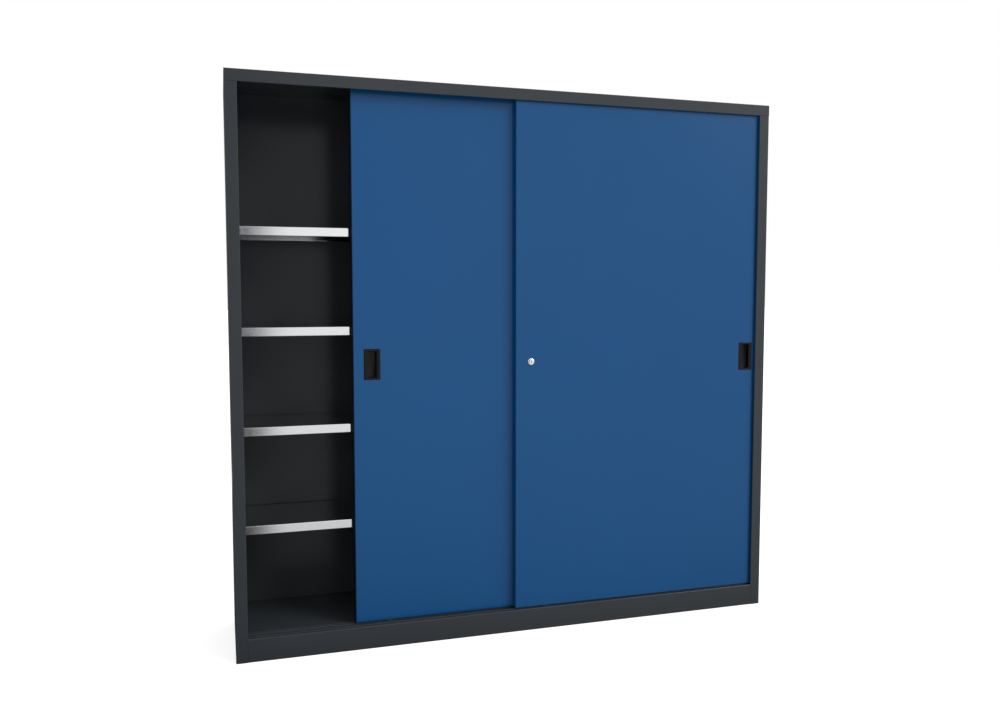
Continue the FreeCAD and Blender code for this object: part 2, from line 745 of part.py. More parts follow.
FRONT_DOOR = Door("front_door", 1, "front_door_x", "front_door_y")
REAR_DOOR = Door("rear_door", -1, "rear_door_x", "rear_door_y")
DOORS = (FRONT_DOOR, REAR_DOOR)
WHEEL_PLACES = (("left", "wheel_inset"), ("right", "door_width - wheel_inset"))
PULL_UP = "pull_level - door_bottom"
LOCK_UP = "lock_level - door_bottom"
SCREW_REACH = "(bracket_length / 2 - bracket_screw_inset)"
SCREW_HOLE = "bracket_screw_radius + screw_play"
WELL_REACH = "wheel_radius + wheel_clearance"
WELL_HALF = "wheel_width / 2 + well_play"


def door_panel(door, lock):
    """Folded tray, open to the rear, cut out for the pull, wheels, guides and lock."""
    body = new_body(f"{door.name}_panel")
    whole = rectangle("0", "door_width", "0", "door_height")
    add(body, "XZ", "0", "door_thickness", [whole])
    hollow = rectangle("sheet", "door_width - sheet", "sheet", "door_height - sheet")
    cut(body, "XZ", "sheet", "door_thickness - sheet", [hollow])
    mouth = rectangle("door_flange", "door_width - door_flange", "door_flange", "door_height - door_flange")
    cut(body, "XZ", "door_thickness - 2 * sheet", "door_thickness + sheet", [mouth])
    outer = edges_in(body.Shape, "Y", "0", {"X": ("0", "door_width"), "Z": ("0", "door_height")})
    round_edges(body, outer, "bend_inside + sheet")

    across = door.across("pull_inset")
    half_width = "(pull_pocket_width / 2 + pull_wall + cutout_play)"
    half_height = "(pull_pocket_height / 2 + pull_wall + cutout_play)"
    pull = rectangle(minus(across, half_width), plus(across, half_width),
                     minus(PULL_UP, half_height), plus(PULL_UP, half_height))
    holes = [("lock_inset", LOCK_UP, "housing_radius + lock_hole_play")] if lock else []
    cut(body, "XZ", "-sheet", "2 * sheet", [pull], holes)

    wells, screws, tongues = [], [], []
    for side, inset in WHEEL_PLACES:
        wells.append(rectangle(minus(inset, WELL_REACH), plus(inset, WELL_REACH),
                               minus("door_middle", WELL_HALF), plus("door_middle", WELL_HALF)))
        for end in (-1, 1):
            screws.append((plus(inset, f"{end} * {SCREW_REACH}"), "door_middle", SCREW_HOLE))
        reach, breadth = "guide_length / 2", "guide_width / 2"
        tongues.append(rectangle(minus(inset, reach), plus(inset, reach),
                                 minus("door_middle", breadth), plus("door_middle", breadth)))
    cut(body, "XY", "-sheet", "2 * sheet", wells, screws)
    cut(body, "XY", "door_height - 2 * sheet", "door_height + sheet", tongues)
    return door.place(body)


def door_stiffener(door):
    body = new_body(f"{door.name}_stiffener")
    near, far = "(door_width - stiffener_width) / 2", "(door_width + stiffener_width) / 2"
    path = [(near, "sheet"), (near, "door_thickness - sheet"),
            (far, "door_thickness - sheet"), (far, "sheet")]
    fold(body, "XY", "sheet", "door_height - sheet", path, -1)
    return door.place(body)


def edge_strip(door):
    """Soft strip along the whole leading edge."""
    body = new_body(f"{door.name}_edge_strip")
    inner = door.across("0")
    outer = door.across("-strip_thickness")
    across = sorted((inner, outer), key=value)
    add(body, "XY", "0", "door_height", [rectangle(*across, "0", "door_thickness")])
    round_corners(body, "XY", [(outer, "0"), (outer, "door_thickness")], "strip_round")
    return door.place(body)


def flush_pull(door):
    """Moulded cup with a flat rim on the door's face, drawn round its own middle."""
    body = new_body(f"{door.name}_pull")

    def centred(width, height):
        return rectangle(f"-({width}) / 2", f"({width}) / 2", f"-({height}) / 2", f"({height}) / 2")

    rim = centred("pull_width", "pull_height")
    add(body, "XZ", "-pull_rim", "0", [rim])
    cup = centred("pull_pocket_width + 2 * pull_wall", "pull_pocket_height + 2 * pull_wall")
    add(body, "XZ", "0", "pull_depth + pull_wall", [cup])
    pocket = centred("pull_pocket_width", "pull_pocket_height")
    cut(body, "XZ", "-2 * pull_rim", "pull_depth", [pocket])
    round_corners(body, "XZ", rim + pocket, "pull_corner")
    return door.place(body, door.across("pull_inset"), PULL_UP)


def roller(door, side, inset):
    """A grooved wheel, drawn round its own axle."""
    body = new_body(f"{door.name}_wheel_{side}")
    bore = "axle_radius + running_fit"
    half = "wheel_width / 2"
    hub = "bracket_width / 2 - bracket_sheet - side_play"
    flank_low = "rib_width / 2 + groove_play"
    flank_high = "rib_width / 2 + groove_play + flank_slope"
    profile = [(f"-({hub})", bore), (f"-({hub})", "hub_radius"), (f"-{half}", "hub_radius"),
               (f"-{half}", "wheel_radius"), (f"-({flank_high})", "wheel_radius"),
               (f"-({flank_low})", "groove_radius"), (flank_low, "groove_radius"),
               (flank_high, "wheel_radius"), (half, "wheel_radius"), (half, "hub_radius"),
               (hub, "hub_radius"), (hub, bore)]
    turned(body, profile)
    place(body, plus(door.x, inset), plus(door.y, "door_middle"), "axle_level")


def roller_mountings(door):
    """Brackets, axles and screws of a door's two wheels."""
    brackets, axles, screws = [], [], []
    return_top = "door_bottom + sheet"
    middle_y = plus(door.y, "door_middle")
    half = "bracket_width / 2"
    inner = "(bracket_width / 2 - bracket_sheet)"
    for side, inset in WHEEL_PLACES:
        x = plus(door.x, inset)
        name = f"{door.name}_{side}_"
        near, far = minus(x, "bracket_length / 2"), plus(x, "bracket_length / 2")
        outside = block(name + "BracketBlank", (near, far), (minus(middle_y, half), plus(middle_y, half)),
                        (return_top, plus(return_top, "bracket_height")))
        rim = plus(return_top, "bracket_height")
        inside = block(name + "BracketInside", (minus(near, "bracket_sheet"), plus(far, "bracket_sheet")),
                       (minus(middle_y, inner), plus(middle_y, inner)),
                       (plus(return_top, "bracket_sheet"), plus(rim, "bracket_sheet")))
        well = block(name + "BracketWell", (minus(x, WELL_REACH), plus(x, WELL_REACH)),
                     (minus(middle_y, WELL_HALF), plus(middle_y, WELL_HALF)),
                     (minus(return_top, "bracket_sheet"), plus(return_top, "2 * bracket_sheet")))
        axle_hole = rod(name + "AxleHole", "Y", "axle_radius + running_fit",
                        "bracket_width + 2 * bracket_sheet",
                        x, minus(middle_y, "bracket_width / 2 + bracket_sheet"), "axle_level")
        tools = [inside, well, axle_hole]
        for end in (-1, 1):
            screw_x = plus(x, f"{end} * {SCREW_REACH}")
            tools.append(rod(f"{name}ScrewHole{end + 1}", "Z", SCREW_HOLE, "4 * bracket_sheet",
                             screw_x, middle_y, minus(return_top, "bracket_sheet")))
            shank = rod(f"{name}Shank{end + 1}", "Z", "bracket_screw_radius",
                        "sheet + bracket_sheet + screw_head_height / 2", screw_x, middle_y, "door_bottom")
            head = rod(f"{name}Head{end + 1}", "Z", "screw_head_radius", "screw_head_height",
                       screw_x, middle_y, plus(return_top, "bracket_sheet"))
            screws.append(joined(f"{name}Screw{end + 1}", [shank, head]))
        brackets.append(bored(name + "Bracket", outside, joined(name + "BracketTools", tools)))
        pin = rod(name + "AxlePin", "Y", "axle_radius", "bracket_width + axle_head_height",
                  x, minus(middle_y, half), "axle_level")
        head = rod(name + "AxleHead", "Y", "axle_head_radius", "axle_head_height",
                   x, minus(middle_y, "bracket_width / 2 + axle_head_height"), "axle_level")
        axles.append(joined(name + "Axle", [pin, head]))
    group(f"{door.name}_roller_brackets", brackets)
    group(f"{door.name}_roller_axles", axles)
    group(f"{door.name}_bracket_screws", screws)


def top_guides(door):
    """Nylon tongues through the door's top, each with a wider foot inside it."""
    guides = []
    door_top = "height - door_headroom"
    middle_y = plus(door.y, "door_middle")
    for side, inset in WHEEL_PLACES:
        x = plus(door.x, inset)
        name = f"{door.name}_{side}_Guide"
        tongue = block(name + "Tongue", (minus(x, "guide_length / 2"), plus(x, "guide_length / 2")),
                       (minus(middle_y, "guide_width / 2"), plus(middle_y, "guide_width / 2")),
                       (minus(door_top, "sheet"), plus(door_top, "guide_rise")))
        reach, breadth = "guide_length / 2 + guide_foot_lip", "guide_width / 2 + guide_foot_lip"
        foot = block(name + "Foot", (minus(x, reach), plus(x, reach)),
                     (minus(middle_y, breadth), plus(middle_y, breadth)),
                     (minus(door_top, "sheet + guide_block"), minus(door_top, "sheet")))
        guides.append(joined(name, [tongue, foot]))
    return group(f"{door.name}_top_guides", guides)


# -------------------------------------------------------------------- lock

def lock_housing():
    """Bright collar on the door and the sleeve behind it, closed by a bored rear wall."""
    body = new_body("lock_housing")
    end = "door_thickness - sheet"
    profile = [("-collar_height", "barrel_radius + running_fit"), ("-collar_height", "collar_radius"),
               ("0", "collar_radius"), ("0", "housing_radius"), (end, "housing_radius"),
               (end, "bolt_radius + running_fit"), (minus(end, "housing_end"), "bolt_radius + running_fit"),
               (minus(end, "housing_end"), "shoulder_radius + running_fit"),
               ("0", "shoulder_radius + running_fit"), ("0", "barrel_radius + running_fit")]
    turned(body, profile)
    return FRONT_DOOR.place(body, "lock_inset", LOCK_UP)


def lock_nut():
    """Ring nut that holds the housing in the door's sheet."""
    blank = hexagon("LockNutBlank", "Y", "nut_radius", "nut_height", "0", "sheet", "0")
    bore = rod("LockNutBore", "Y", "housing_radius + screw_play", "nut_height + 2 * sheet", "0", "0", "0")
    nut = bored("lock_nut", blank, bore)
    nut.Label = "lock_nut"
    sub_parts.append(nut)
    return FRONT_DOOR.place(nut, "lock_inset", LOCK_UP)


def push_barrel():
    """Head, shoulder and bolt in one, bored from the front for the key plug."""
    body = new_body("lock_barrel")
    plug_end = "plug_shy + plug_length + plug_play - barrel_proud"
    plug_bore = "plug_radius + running_fit"
    profile = [("-barrel_proud", plug_bore), ("-barrel_proud", "barrel_radius"),
               ("shoulder_play", "barrel_radius"), ("shoulder_play", "shoulder_radius"),
               ("shoulder_end", "shoulder_radius"), ("shoulder_end", "bolt_radius"),
               ("bolt_end", "bolt_radius"), ("bolt_end", "0"), (plug_end, "0"), (plug_end, plug_bore)]
    turned(body, profile)
    return FRONT_DOOR.place(body, "lock_inset", LOCK_UP)


def key_plug():
    body = new_body("lock_key_plug")
    start = "plug_shy - barrel_proud"
    end = plus(start, "plug_length")
    turned(body, [(start, "0"), (start, "plug_radius"), (end, "plug_radius"), (end, "0")])
    half_width, half_height = "keyhole_width / 2", "keyhole_height / 2"
    keyhole = rectangle(f"-{half_width}", half_width, f"-{half_height}", half_height)
    cut(body, "XZ", "-2 * barrel_proud", plus(start, "keyhole_depth"), [keyhole])
    return FRONT_DOOR.place(body, "lock_inset", LOCK_UP)


SPRING_SIDES = 8  # of the wire's section


def return_spring():
    """Coil between the barrel's shoulder and the housing's rear wall."""
    wire = value("spring_wire") / 2
    start = value("shoulder_end") + wire
    end = value("door_thickness - sheet - housing_end") - wire
    radius = (value("bolt_radius") + value("shoulder_radius")) / 2
    line = Part.makeHelix((end - start) / value("spring_turns"), end - start, radius)
    turns = [2 * math.pi * step / SPRING_SIDES for step in range(SPRING_SIDES + 1)]
    section = Part.makePolygon([FreeCAD.Vector(radius + wire * math.cos(turn), 0, wire * math.sin(turn))
                                for turn in turns])
    coil = Part.Wire(line.Edges).makePipeShell([section], True, True)
    spring = document.addObject("Part::Feature", "lock_spring")
    spring.Label = "lock_spring"
    spring.Shape = coil
    middle = [value(text) for text in ("front_door_x + lock_inset", "front_door_y", "lock_level")]
    spring.Placement = FreeCAD.Placement(FreeCAD.Vector(*middle) + FreeCAD.Vector(0, start, 0), TURNS["Y"])
    sub_parts.append(spring)
    return spring


def lock_keeper():
    """Plate on the rear door's trailing edge with the stop that the bolt meets."""
    plate = block("KeeperPlate", ("door_width - keeper_length", "door_width + keeper_reach"),
                  ("-keeper_plate", "0"), ("-keeper_height / 2", "keeper_height / 2"))
    stop = block("KeeperStop", ("door_width", "door_width + keeper_reach"),
                 ("-keeper_depth", "0"), ("-keeper_height / 2", "keeper_height / 2"))
    keeper = joined("lock_keeper", [plate, stop])
    keeper.Label = "lock_keeper"
    sub_parts.append(keeper)
    return REAR_DOOR.place(keeper, "0", LOCK_UP)


# ---------------------------------------------------------------- assembly

def build_carcass():
    for label, s in (("left", -1), ("right", 1)):
        side_panel(f"{label}_side", s)
        back_panel(f"{label}_back_panel", s)
        upright(f"{label}_front_upright", s, "slot_front_y")
        upright(f"{label}_rear_upright", s, "slot_rear_y")
        for step in range(1, round(value("shelf_levels")) + 1):
            shelf(f"{label}_shelf_{step}", s, step)
        shelf_clips(f"{label}_shelf_clips", s)
    top_panel()
    floor_panel()
    bottom_track()
    front_plinth()
    rear_plinth()
    floor_stiffeners()
    foot_plates()
    partition()
    back_joints()
    guide_rail("front_guide_rail", "front_door_y")
    guide_rail("rear_guide_rail", "rear_door_y")
    closing = "door_inset - sheet - strip_thickness - buffer_play"
    opening = "door_inset - sheet - buffer_play"
    buffers("closing_buffers", ((-1, "rear_door_y", closing), (1, "front_door_y", closing)))
    buffers("opening_buffers", ((-1, "front_door_y", opening), (1, "rear_door_y", opening)))


def build_doors():
    for door in DOORS:
        door_panel(door, lock=door is FRONT_DOOR)
        door_stiffener(door)
        edge_strip(door)
        flush_pull(door)
        for side, inset in WHEEL_PLACES:
            roller(door, side, inset)
        roller_mountings(door)
        top_guides(door)


def build_lock():
    lock_housing()
    lock_nut()
    push_barrel()
    key_plug()
    return_spring()
    lock_keeper()


def check():
    """Stop if any object failed or any sub-part has no sound shape."""
    for item in document.Objects:
        if "Invalid" in item.State or "Error" in item.State:
            raise ValueError(f"{item.Label} did not compute")
    for item in sub_parts:
        if item.Shape.isNull() or not item.Shape.isValid() or not item.Shape.Solids:
            raise ValueError(f"{item.Label} has no sound shape")


def export():
    os.makedirs("parts", exist_ok=True)
    for item in sub_parts:
        item.Shape.exportStep(f"parts/{item.Label}.step")
        print(f"{item.Label}: {len(item.Shape.Solids)} solids")


build_carcass()
build_doors()
build_lock()
document.recompute()
check()
export()
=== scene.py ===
import json
import math

import bmesh
import bpy
from bpy.props import FloatProperty, FloatVectorProperty, PointerProperty
from mathutils import Euler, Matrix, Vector


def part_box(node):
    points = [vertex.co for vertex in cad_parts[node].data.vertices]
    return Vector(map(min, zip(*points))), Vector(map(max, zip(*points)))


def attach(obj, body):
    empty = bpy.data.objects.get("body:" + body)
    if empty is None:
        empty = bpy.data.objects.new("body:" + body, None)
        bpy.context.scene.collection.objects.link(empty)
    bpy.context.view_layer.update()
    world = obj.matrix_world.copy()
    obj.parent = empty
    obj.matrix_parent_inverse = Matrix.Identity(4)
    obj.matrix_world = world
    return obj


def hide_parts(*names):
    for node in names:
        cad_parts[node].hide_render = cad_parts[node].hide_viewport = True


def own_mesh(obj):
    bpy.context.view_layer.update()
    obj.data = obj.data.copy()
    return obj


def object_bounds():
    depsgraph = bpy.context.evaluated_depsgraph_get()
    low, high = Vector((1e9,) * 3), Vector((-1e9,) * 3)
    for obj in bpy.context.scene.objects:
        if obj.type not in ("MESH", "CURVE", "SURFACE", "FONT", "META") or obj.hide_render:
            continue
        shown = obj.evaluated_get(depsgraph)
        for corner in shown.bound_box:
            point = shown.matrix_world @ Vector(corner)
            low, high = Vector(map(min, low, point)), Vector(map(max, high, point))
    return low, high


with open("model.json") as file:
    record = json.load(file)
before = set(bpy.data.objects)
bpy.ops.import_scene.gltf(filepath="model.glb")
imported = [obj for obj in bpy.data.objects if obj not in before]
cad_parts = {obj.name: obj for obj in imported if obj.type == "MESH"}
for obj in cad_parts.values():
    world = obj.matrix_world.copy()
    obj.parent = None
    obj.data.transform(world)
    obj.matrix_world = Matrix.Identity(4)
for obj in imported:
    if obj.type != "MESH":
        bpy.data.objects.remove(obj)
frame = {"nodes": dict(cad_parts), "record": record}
CAD_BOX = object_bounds()

bl_info = {
    "name": "Sliding Door Cabinet",
    "version": (1, 0, 0),
    "blender": (4, 5, 0),
    "location": "3D View > Sidebar > Cabinet",
    "description": "Finishes a steel cabinet with two sliding doors",
    "category": "Add Mesh",
}

MM = 0.001
NODES = frame["nodes"]
DOORS = ("front_door", "rear_door")

# The finish of each of the record's material slots.
FINISHES = {
    "carcass_paint": "anthracite_powder_coat",
    "door_paint": "blue_powder_coat",
    "zinc_steel": "galvanised_coat",
    "black_plastic": "grained_moulding",
    "black_rubber": "matt_rubber",
    "nylon": "natural_nylon",
    "lock_chrome": "bright_plating",
}
# Two finishes more: inside the keyhole, near black as painted shade of its depth on its unplated metal, and
# on the wheels.
KEYHOLE_SHADE_FINISH, WHEEL_FINISH = "oiled_keyway", "wheel_moulding"


def shade(red, green, blue):
    """A display colour, 0 to 255, as the linear colour that a shader takes."""
    def linear(level):
        level /= 255
        return level / 12.92 if level <= 0.04045 else ((level + 0.055) / 1.055) ** 2.4
    return (linear(red), linear(green), linear(blue))


# ------------------------------------------------------------------ settings

class CabinetFinish(bpy.types.PropertyGroup):
    carcass_colour: FloatVectorProperty(
        name="Carcass", description="Powder coat of the carcass", subtype="COLOR",
        size=3, min=0, max=1, default=shade(51, 55, 59))
    door_colour: FloatVectorProperty(
        name="Doors", description="Powder coat of the doors", subtype="COLOR",
        size=3, min=0, max=1, default=shade(12, 73, 123))
    zinc_colour: FloatVectorProperty(
        name="Zinc", description="Galvanised shelves and fittings", subtype="COLOR",
        size=3, min=0, max=1, default=shade(234, 235, 237))
    plastic_colour: FloatVectorProperty(
        name="Plastic", description="Moulded pulls", subtype="COLOR",
        size=3, min=0, max=1, default=shade(13, 13, 14))
    rubber_colour: FloatVectorProperty(
        name="Rubber", description="Edge strips and buffers", subtype="COLOR",
        size=3, min=0, max=1, default=shade(13, 13, 14))
    nylon_colour: FloatVectorProperty(
        name="Nylon", description="Top guides", subtype="COLOR",
        size=3, min=0, max=1, default=shade(226, 223, 214))
    chrome_colour: FloatVectorProperty(
        name="Chrome", description="Collar, barrel and key plug of the lock", subtype="COLOR",
        size=3, min=0, max=1, default=shade(242, 243, 245))
    peel_size: FloatProperty(
        name="Orange peel", description="Width of the powder coat's waves", subtype="DISTANCE",
        unit="LENGTH", min=0.0005, max=0.01, default=0.0022)
    spangle_size: FloatProperty(
        name="Spangle", description="Width of the zinc's crystals", subtype="DISTANCE",
        unit="LENGTH", min=0.002, max=0.05, default=0.011)


class CabinetStage(bpy.types.PropertyGroup):
    eye: FloatVectorProperty(
        name="Camera", description="Place of the camera", subtype="TRANSLATION", unit="LENGTH",
        size=3, default=(-1.01955, -3.24140, 1.23989))
    yaw: FloatProperty(
        name="Yaw", description="Turn of the camera to the right", subtype="ANGLE",
        unit="ROTATION", default=0.299654)
    dip: FloatProperty(
        name="Dip", description="Tilt of the camera below the horizon", subtype="ANGLE",
        unit="ROTATION", default=0.072811)
    lens: FloatProperty(
        name="Lens", description="Focal length in millimetres on a 36 mm wide sensor",
        min=10, max=200, default=32.3375)
    key_strength: FloatProperty(
        name="Key light", description="Strength of the broad soft light", min=0, default=1.9)
    key_bearing: FloatProperty(
        name="Key bearing", description="Where it stands, to the right of the cabinet's front",
        subtype="ANGLE", unit="ROTATION", default=math.radians(49))
    key_height: FloatProperty(
        name="Key height", description="Where it stands, above the horizon",
        subtype="ANGLE", unit="ROTATION", default=math.radians(28))
    key_breadth: FloatProperty(
        name="Key breadth", description="Angle over the broad soft light",
        subtype="ANGLE", unit="ROTATION", default=math.radians(30))
    sky_strength: FloatProperty(
        name="Sky", description="Strength of the even light from all round", min=0, max=2, default=0.78)
    dark_side: FloatProperty(
        name="Dark side", description="What metal and paint reflect from the unlit side of the studio",
        min=0, max=1, default=0.1)
    # The floor's painted reflection level: near the cabinet's foot, as painted shade, and far off.
    near_floor: FloatProperty(
        name="Near floor", description="What is reflected of the floor at the cabinet's foot",
        min=0, max=1, default=0.5)
    far_floor: FloatProperty(
        name="Far floor", description="What is reflected of the floor far off on the lit side",
        min=0, max=1, default=0.95)


# --------------------------------------------------------------- node groups

def new_group(name, inputs, outputs):
    """An empty shader node group with float sockets; inputs gives each one's default."""
    tree = bpy.data.node_groups.new(name, "ShaderNodeTree")
    for label, default in inputs.items():
        socket = tree.interface.new_socket(name=label, in_out="INPUT", socket_type="NodeSocketFloat")
        socket.default_value = default
    for label in outputs:
        tree.interface.new_socket(name=label, in_out="OUTPUT", socket_type="NodeSocketFloat")
    return tree, tree.nodes.new("NodeGroupInput"), tree.nodes.new("NodeGroupOutput")


def add_node(tree, kind, inputs=None, **settings):
    """A node with its settings, and its inputs given as numbers or as sockets to link."""
    node = tree.nodes.new(kind)
    for name, setting in settings.items():
        setattr(node, name, setting)
    for name, feed in (inputs or {}).items():
        if isinstance(feed, bpy.types.NodeSocket):
            tree.links.new(feed, node.inputs[name])
        else:
            node.inputs[name].default_value = feed
    return node


def calculate(tree, operation, first, second):
    """The result of a sum, product or the like of two numbers or sockets."""
    return add_node(tree, "ShaderNodeMath", {0: first, 1: second}, operation=operation).outputs[0]


def noise(tree, place, scale, detail):
    """A noise over the piece, by the number of its waves in a metre."""
    return add_node(tree, "ShaderNodeTexNoise", {"Vector": place, "Scale": scale, "Detail": detail})


def remap(tree, feed, low, high):
    """A 0 to 1 value spread from low to high."""
    inputs = {"Value": feed, "To Min": low, "To Max": high}
    return add_node(tree, "ShaderNodeMapRange", inputs).outputs["Result"]


def orange_peel_group():
    """Waves of a powder coat, and its slow change of tone over a panel."""
    tree, given, result = new_group("Orange peel", {"Size": 2.2 * MM}, ("Height", "Tone"))
    place = add_node(tree, "ShaderNodeTexCoord").outputs["Object"]
    pitch = calculate(tree, "DIVIDE", 1.0, given.outputs["Size"])
    waves = noise(tree, place, pitch, 1.5)
    tone = noise(tree, place, 2.3, 3.0)
    tree.links.new(waves.outputs["Fac"], result.inputs["Height"])
    tree.links.new(tone.outputs["Fac"], result.inputs["Tone"])
    return tree


def spangle_group():
    """Crystals of a zinc coat, each with its own tone, and the fine rolling marks along X."""
    tree, given, result = new_group("Zinc spangle", {"Size": 11 * MM}, ("Crystal", "Rolling"))
    place = add_node(tree, "ShaderNodeTexCoord").outputs["Object"]
    pitch = calculate(tree, "DIVIDE", 1.0, given.outputs["Size"])
    warp = noise(tree, place, 90.0, 2.0)
    bend = {0: warp.outputs["Color"], "Scale": 6 * MM}
    bend = add_node(tree, "ShaderNodeVectorMath", bend, operation="SCALE")
    bent = add_node(tree, "ShaderNodeVectorMath", {0: place, 1: bend.outputs[0]}, operation="ADD")
    cells = add_node(tree, "ShaderNodeTexVoronoi", {"Vector": bent.outputs[0], "Scale": pitch})
    tone = add_node(tree, "ShaderNodeSeparateColor", {"Color": cells.outputs["Color"]})
    stretch = add_node(tree, "ShaderNodeMapping", {"Vector": place, "Scale": (6.0, 900.0, 900.0)})
    rolling = noise(tree, stretch.outputs[0], 1.0, 2.0)
    tree.links.new(tone.outputs["Red"], result.inputs["Crystal"])
    tree.links.new(rolling.outputs["Fac"], result.inputs["Rolling"])
    return tree


def grain_group():
    """Spark-eroded grain of moulded plastic and rubber, and the slow change of its sheen."""
    tree, given, result = new_group("Moulded grain", {"Size": 0.8 * MM}, ("Height", "Sheen"))
    place = add_node(tree, "ShaderNodeTexCoord").outputs["Object"]
    pitch = calculate(tree, "DIVIDE", 1.0, given.outputs["Size"])
    grain = noise(tree, place, pitch, 2.0)
    sheen = noise(tree, place, 25.0, 3.0)
    tree.links.new(grain.outputs["Fac"], result.inputs["Height"])
    tree.links.new(sheen.outputs["Fac"], result.inputs["Sheen"])
    return tree


def dust_group():
    """Where a little dust has settled: on faces that look up, unevenly."""
    tree, given, result = new_group("Settled dust", {"Amount": 0.2}, ("Mask",))
    place = add_node(tree, "ShaderNodeTexCoord").outputs["Object"]
    normal = add_node(tree, "ShaderNodeNewGeometry").outputs["Normal"]
    upward = add_node(tree, "ShaderNodeSeparateXYZ", {"Vector": normal}).outputs["Z"]
    flat = add_node(tree, "ShaderNodeMapRange", {"Value": upward, "From Min": 0.6, "From Max": 1.0})
    patches = noise(tree, place, 9.0, 5.0)
    uneven = remap(tree, patches.outputs["Fac"], 0.4, 1.0)
    mask = calculate(tree, "MULTIPLY", flat.outputs["Result"], uneven)
    amount = calculate(tree, "MULTIPLY", mask, given.outputs["Amount"])
    tree.links.new(amount, result.inputs["Mask"])
    return tree


# ----------------------------------------------------------------- materials

DUST = shade(150, 148, 144) + (1.0,)


def toned(colour, factor):
    """A colour made lighter or darker, with full alpha."""
    return tuple(min(1.0, level * factor) for level in colour) + (1.0,)


def mixed(tree, factor, first, second):
    """Colour between two colours, each a tuple or a socket."""
    mix = add_node(tree, "ShaderNodeMix", {"Factor": factor}, data_type="RGBA")
    for index, feed in ((6, first), (7, second)):
        if isinstance(feed, bpy.types.NodeSocket):
            tree.links.new(feed, mix.inputs[index])
        else:
            mix.inputs[index].default_value = feed
    return mix.outputs[2]


def new_material(name):
    """An empty material, its tree and its shader."""
    material = bpy.data.materials.new(name)
    material.use_nodes = True
    return material, material.node_tree, material.node_tree.nodes["Principled BSDF"]


def use_group(tree, name, **inputs):
    """The outputs of a node group placed in a material with its own values."""
    return add_node(tree, "ShaderNodeGroup", inputs, node_tree=bpy.data.node_groups[name]).outputs


def roughen(tree, shader, mask, roughness, spread):
    """Roughness that wanders by the spread to either side."""
    wandering = remap(tree, mask, roughness - spread, roughness + spread)
    tree.links.new(wandering, shader.inputs["Roughness"])


def bump(tree, shader, height, distance):
    """Fine relief, from the height of a group, as deep as the distance."""
    node = add_node(tree, "ShaderNodeBump", {"Height": height, "Distance": distance, "Strength": 1.0})
    tree.links.new(node.outputs["Normal"], shader.inputs["Normal"])


def powder_coat(name, colour, roughness, specular, dust):
    """Satin powder coat: soft orange peel, slow change of tone, a breath of dust on top."""
    finish = bpy.context.scene.cabinet_finish
    material, tree, shader = new_material(name)
    peel = use_group(tree, "Orange peel", Size=finish.peel_size)
    settled = use_group(tree, "Settled dust", Amount=dust)
    coat = mixed(tree, peel["Tone"], toned(colour, 0.96), toned(colour, 1.04))
    tree.links.new(mixed(tree, settled["Mask"], coat, DUST), shader.inputs["Base Color"])
    roughen(tree, shader, peel["Tone"], roughness, spread=0.03)
    shader.inputs["Specular IOR Level"].default_value = specular
    bump(tree, shader, peel["Height"], distance=0.02 * MM)
    return material


def zinc(name, colour, roughness, dust):
    """Hot-dip galvanised sheet with a small spangle."""
    finish = bpy.context.scene.cabinet_finish
    material, tree, shader = new_material(name)
    coat = use_group(tree, "Zinc spangle", Size=finish.spangle_size)
    settled = use_group(tree, "Settled dust", Amount=dust)
    metal = mixed(tree, coat["Crystal"], toned(colour, 0.96), toned(colour, 1.0))
    tree.links.new(mixed(tree, settled["Mask"], metal, DUST), shader.inputs["Base Color"])
    roughen(tree, shader, coat["Crystal"], roughness, spread=0.02)
    tree.links.new(remap(tree, settled["Mask"], 1.0, 0.6), shader.inputs["Metallic"])
    bump(tree, shader, coat["Rolling"], distance=0.0015 * MM)
    return material


def moulded(name, colour, roughness, specular, grain):
    """Moulded plastic or rubber with a fine grain."""
    material, tree, shader = new_material(name)
    surface = use_group(tree, "Moulded grain", Size=grain)
    tone = mixed(tree, surface["Sheen"], toned(colour, 0.9), toned(colour, 1.1))
    tree.links.new(tone, shader.inputs["Base Color"])
    roughen(tree, shader, surface["Sheen"], roughness, spread=0.05)
    shader.inputs["Specular IOR Level"].default_value = specular
    bump(tree, shader, surface["Height"], distance=0.03 * MM)
    return material


def bright_metal(name, colour, roughness):
    """Polished and plated, with the faint marks of its making."""
    material, tree, shader = new_material(name)
    surface = use_group(tree, "Moulded grain", Size=0.4 * MM)
    tone = mixed(tree, surface["Sheen"], toned(colour, 0.96), toned(colour, 1.0))
    tree.links.new(tone, shader.inputs["Base Color"])
    roughen(tree, shader, surface["Sheen"], roughness, spread=0.02)
    shader.inputs["Metallic"].default_value = 1.0
    bump(tree, shader, surface["Height"], distance=0.001 * MM)
    return material


def make_materials():
    """The node groups, then every finish of the cabinet."""
    finish = bpy.context.scene.cabinet_finish
    for build in (orange_peel_group, spangle_group, grain_group, dust_group):
        build()
    satin = {"roughness": 0.22, "specular": 0.26}
    powder_coat(FINISHES["carcass_paint"], finish.carcass_colour, dust=0.006, **satin)
    powder_coat(FINISHES["door_paint"], finish.door_colour, dust=0.0, **satin)
    zinc(FINISHES["zinc_steel"], finish.zinc_colour, roughness=0.09, dust=0.0)
    bright_metal(FINISHES["lock_chrome"], finish.chrome_colour, roughness=0.1)
    mouldings = (
        (FINISHES["black_plastic"], finish.plastic_colour, 0.25, 0.18, 0.9 * MM),
        (FINISHES["black_rubber"], finish.rubber_colour, 0.6, 0.1, 0.6 * MM),
        (FINISHES["nylon"], finish.nylon_colour, 0.4, 0.5, 1.2 * MM),
        # Inside the keyhole: near black, painted shade of its depth on unplated metal.
        (KEYHOLE_SHADE_FINISH, shade(18, 17, 16), 0.6, 0.2, 0.6 * MM),
        (WHEEL_FINISH, shade(62, 64, 67), 0.45, 0.3, 0.9 * MM),
    )
    for name, colour, roughness, specular, grain in mouldings:
        moulded(name, colour, roughness, specular, grain)


def finish_of(slot):
    """The material of one of the record's slots."""
    return bpy.data.materials[FINISHES[slot]]


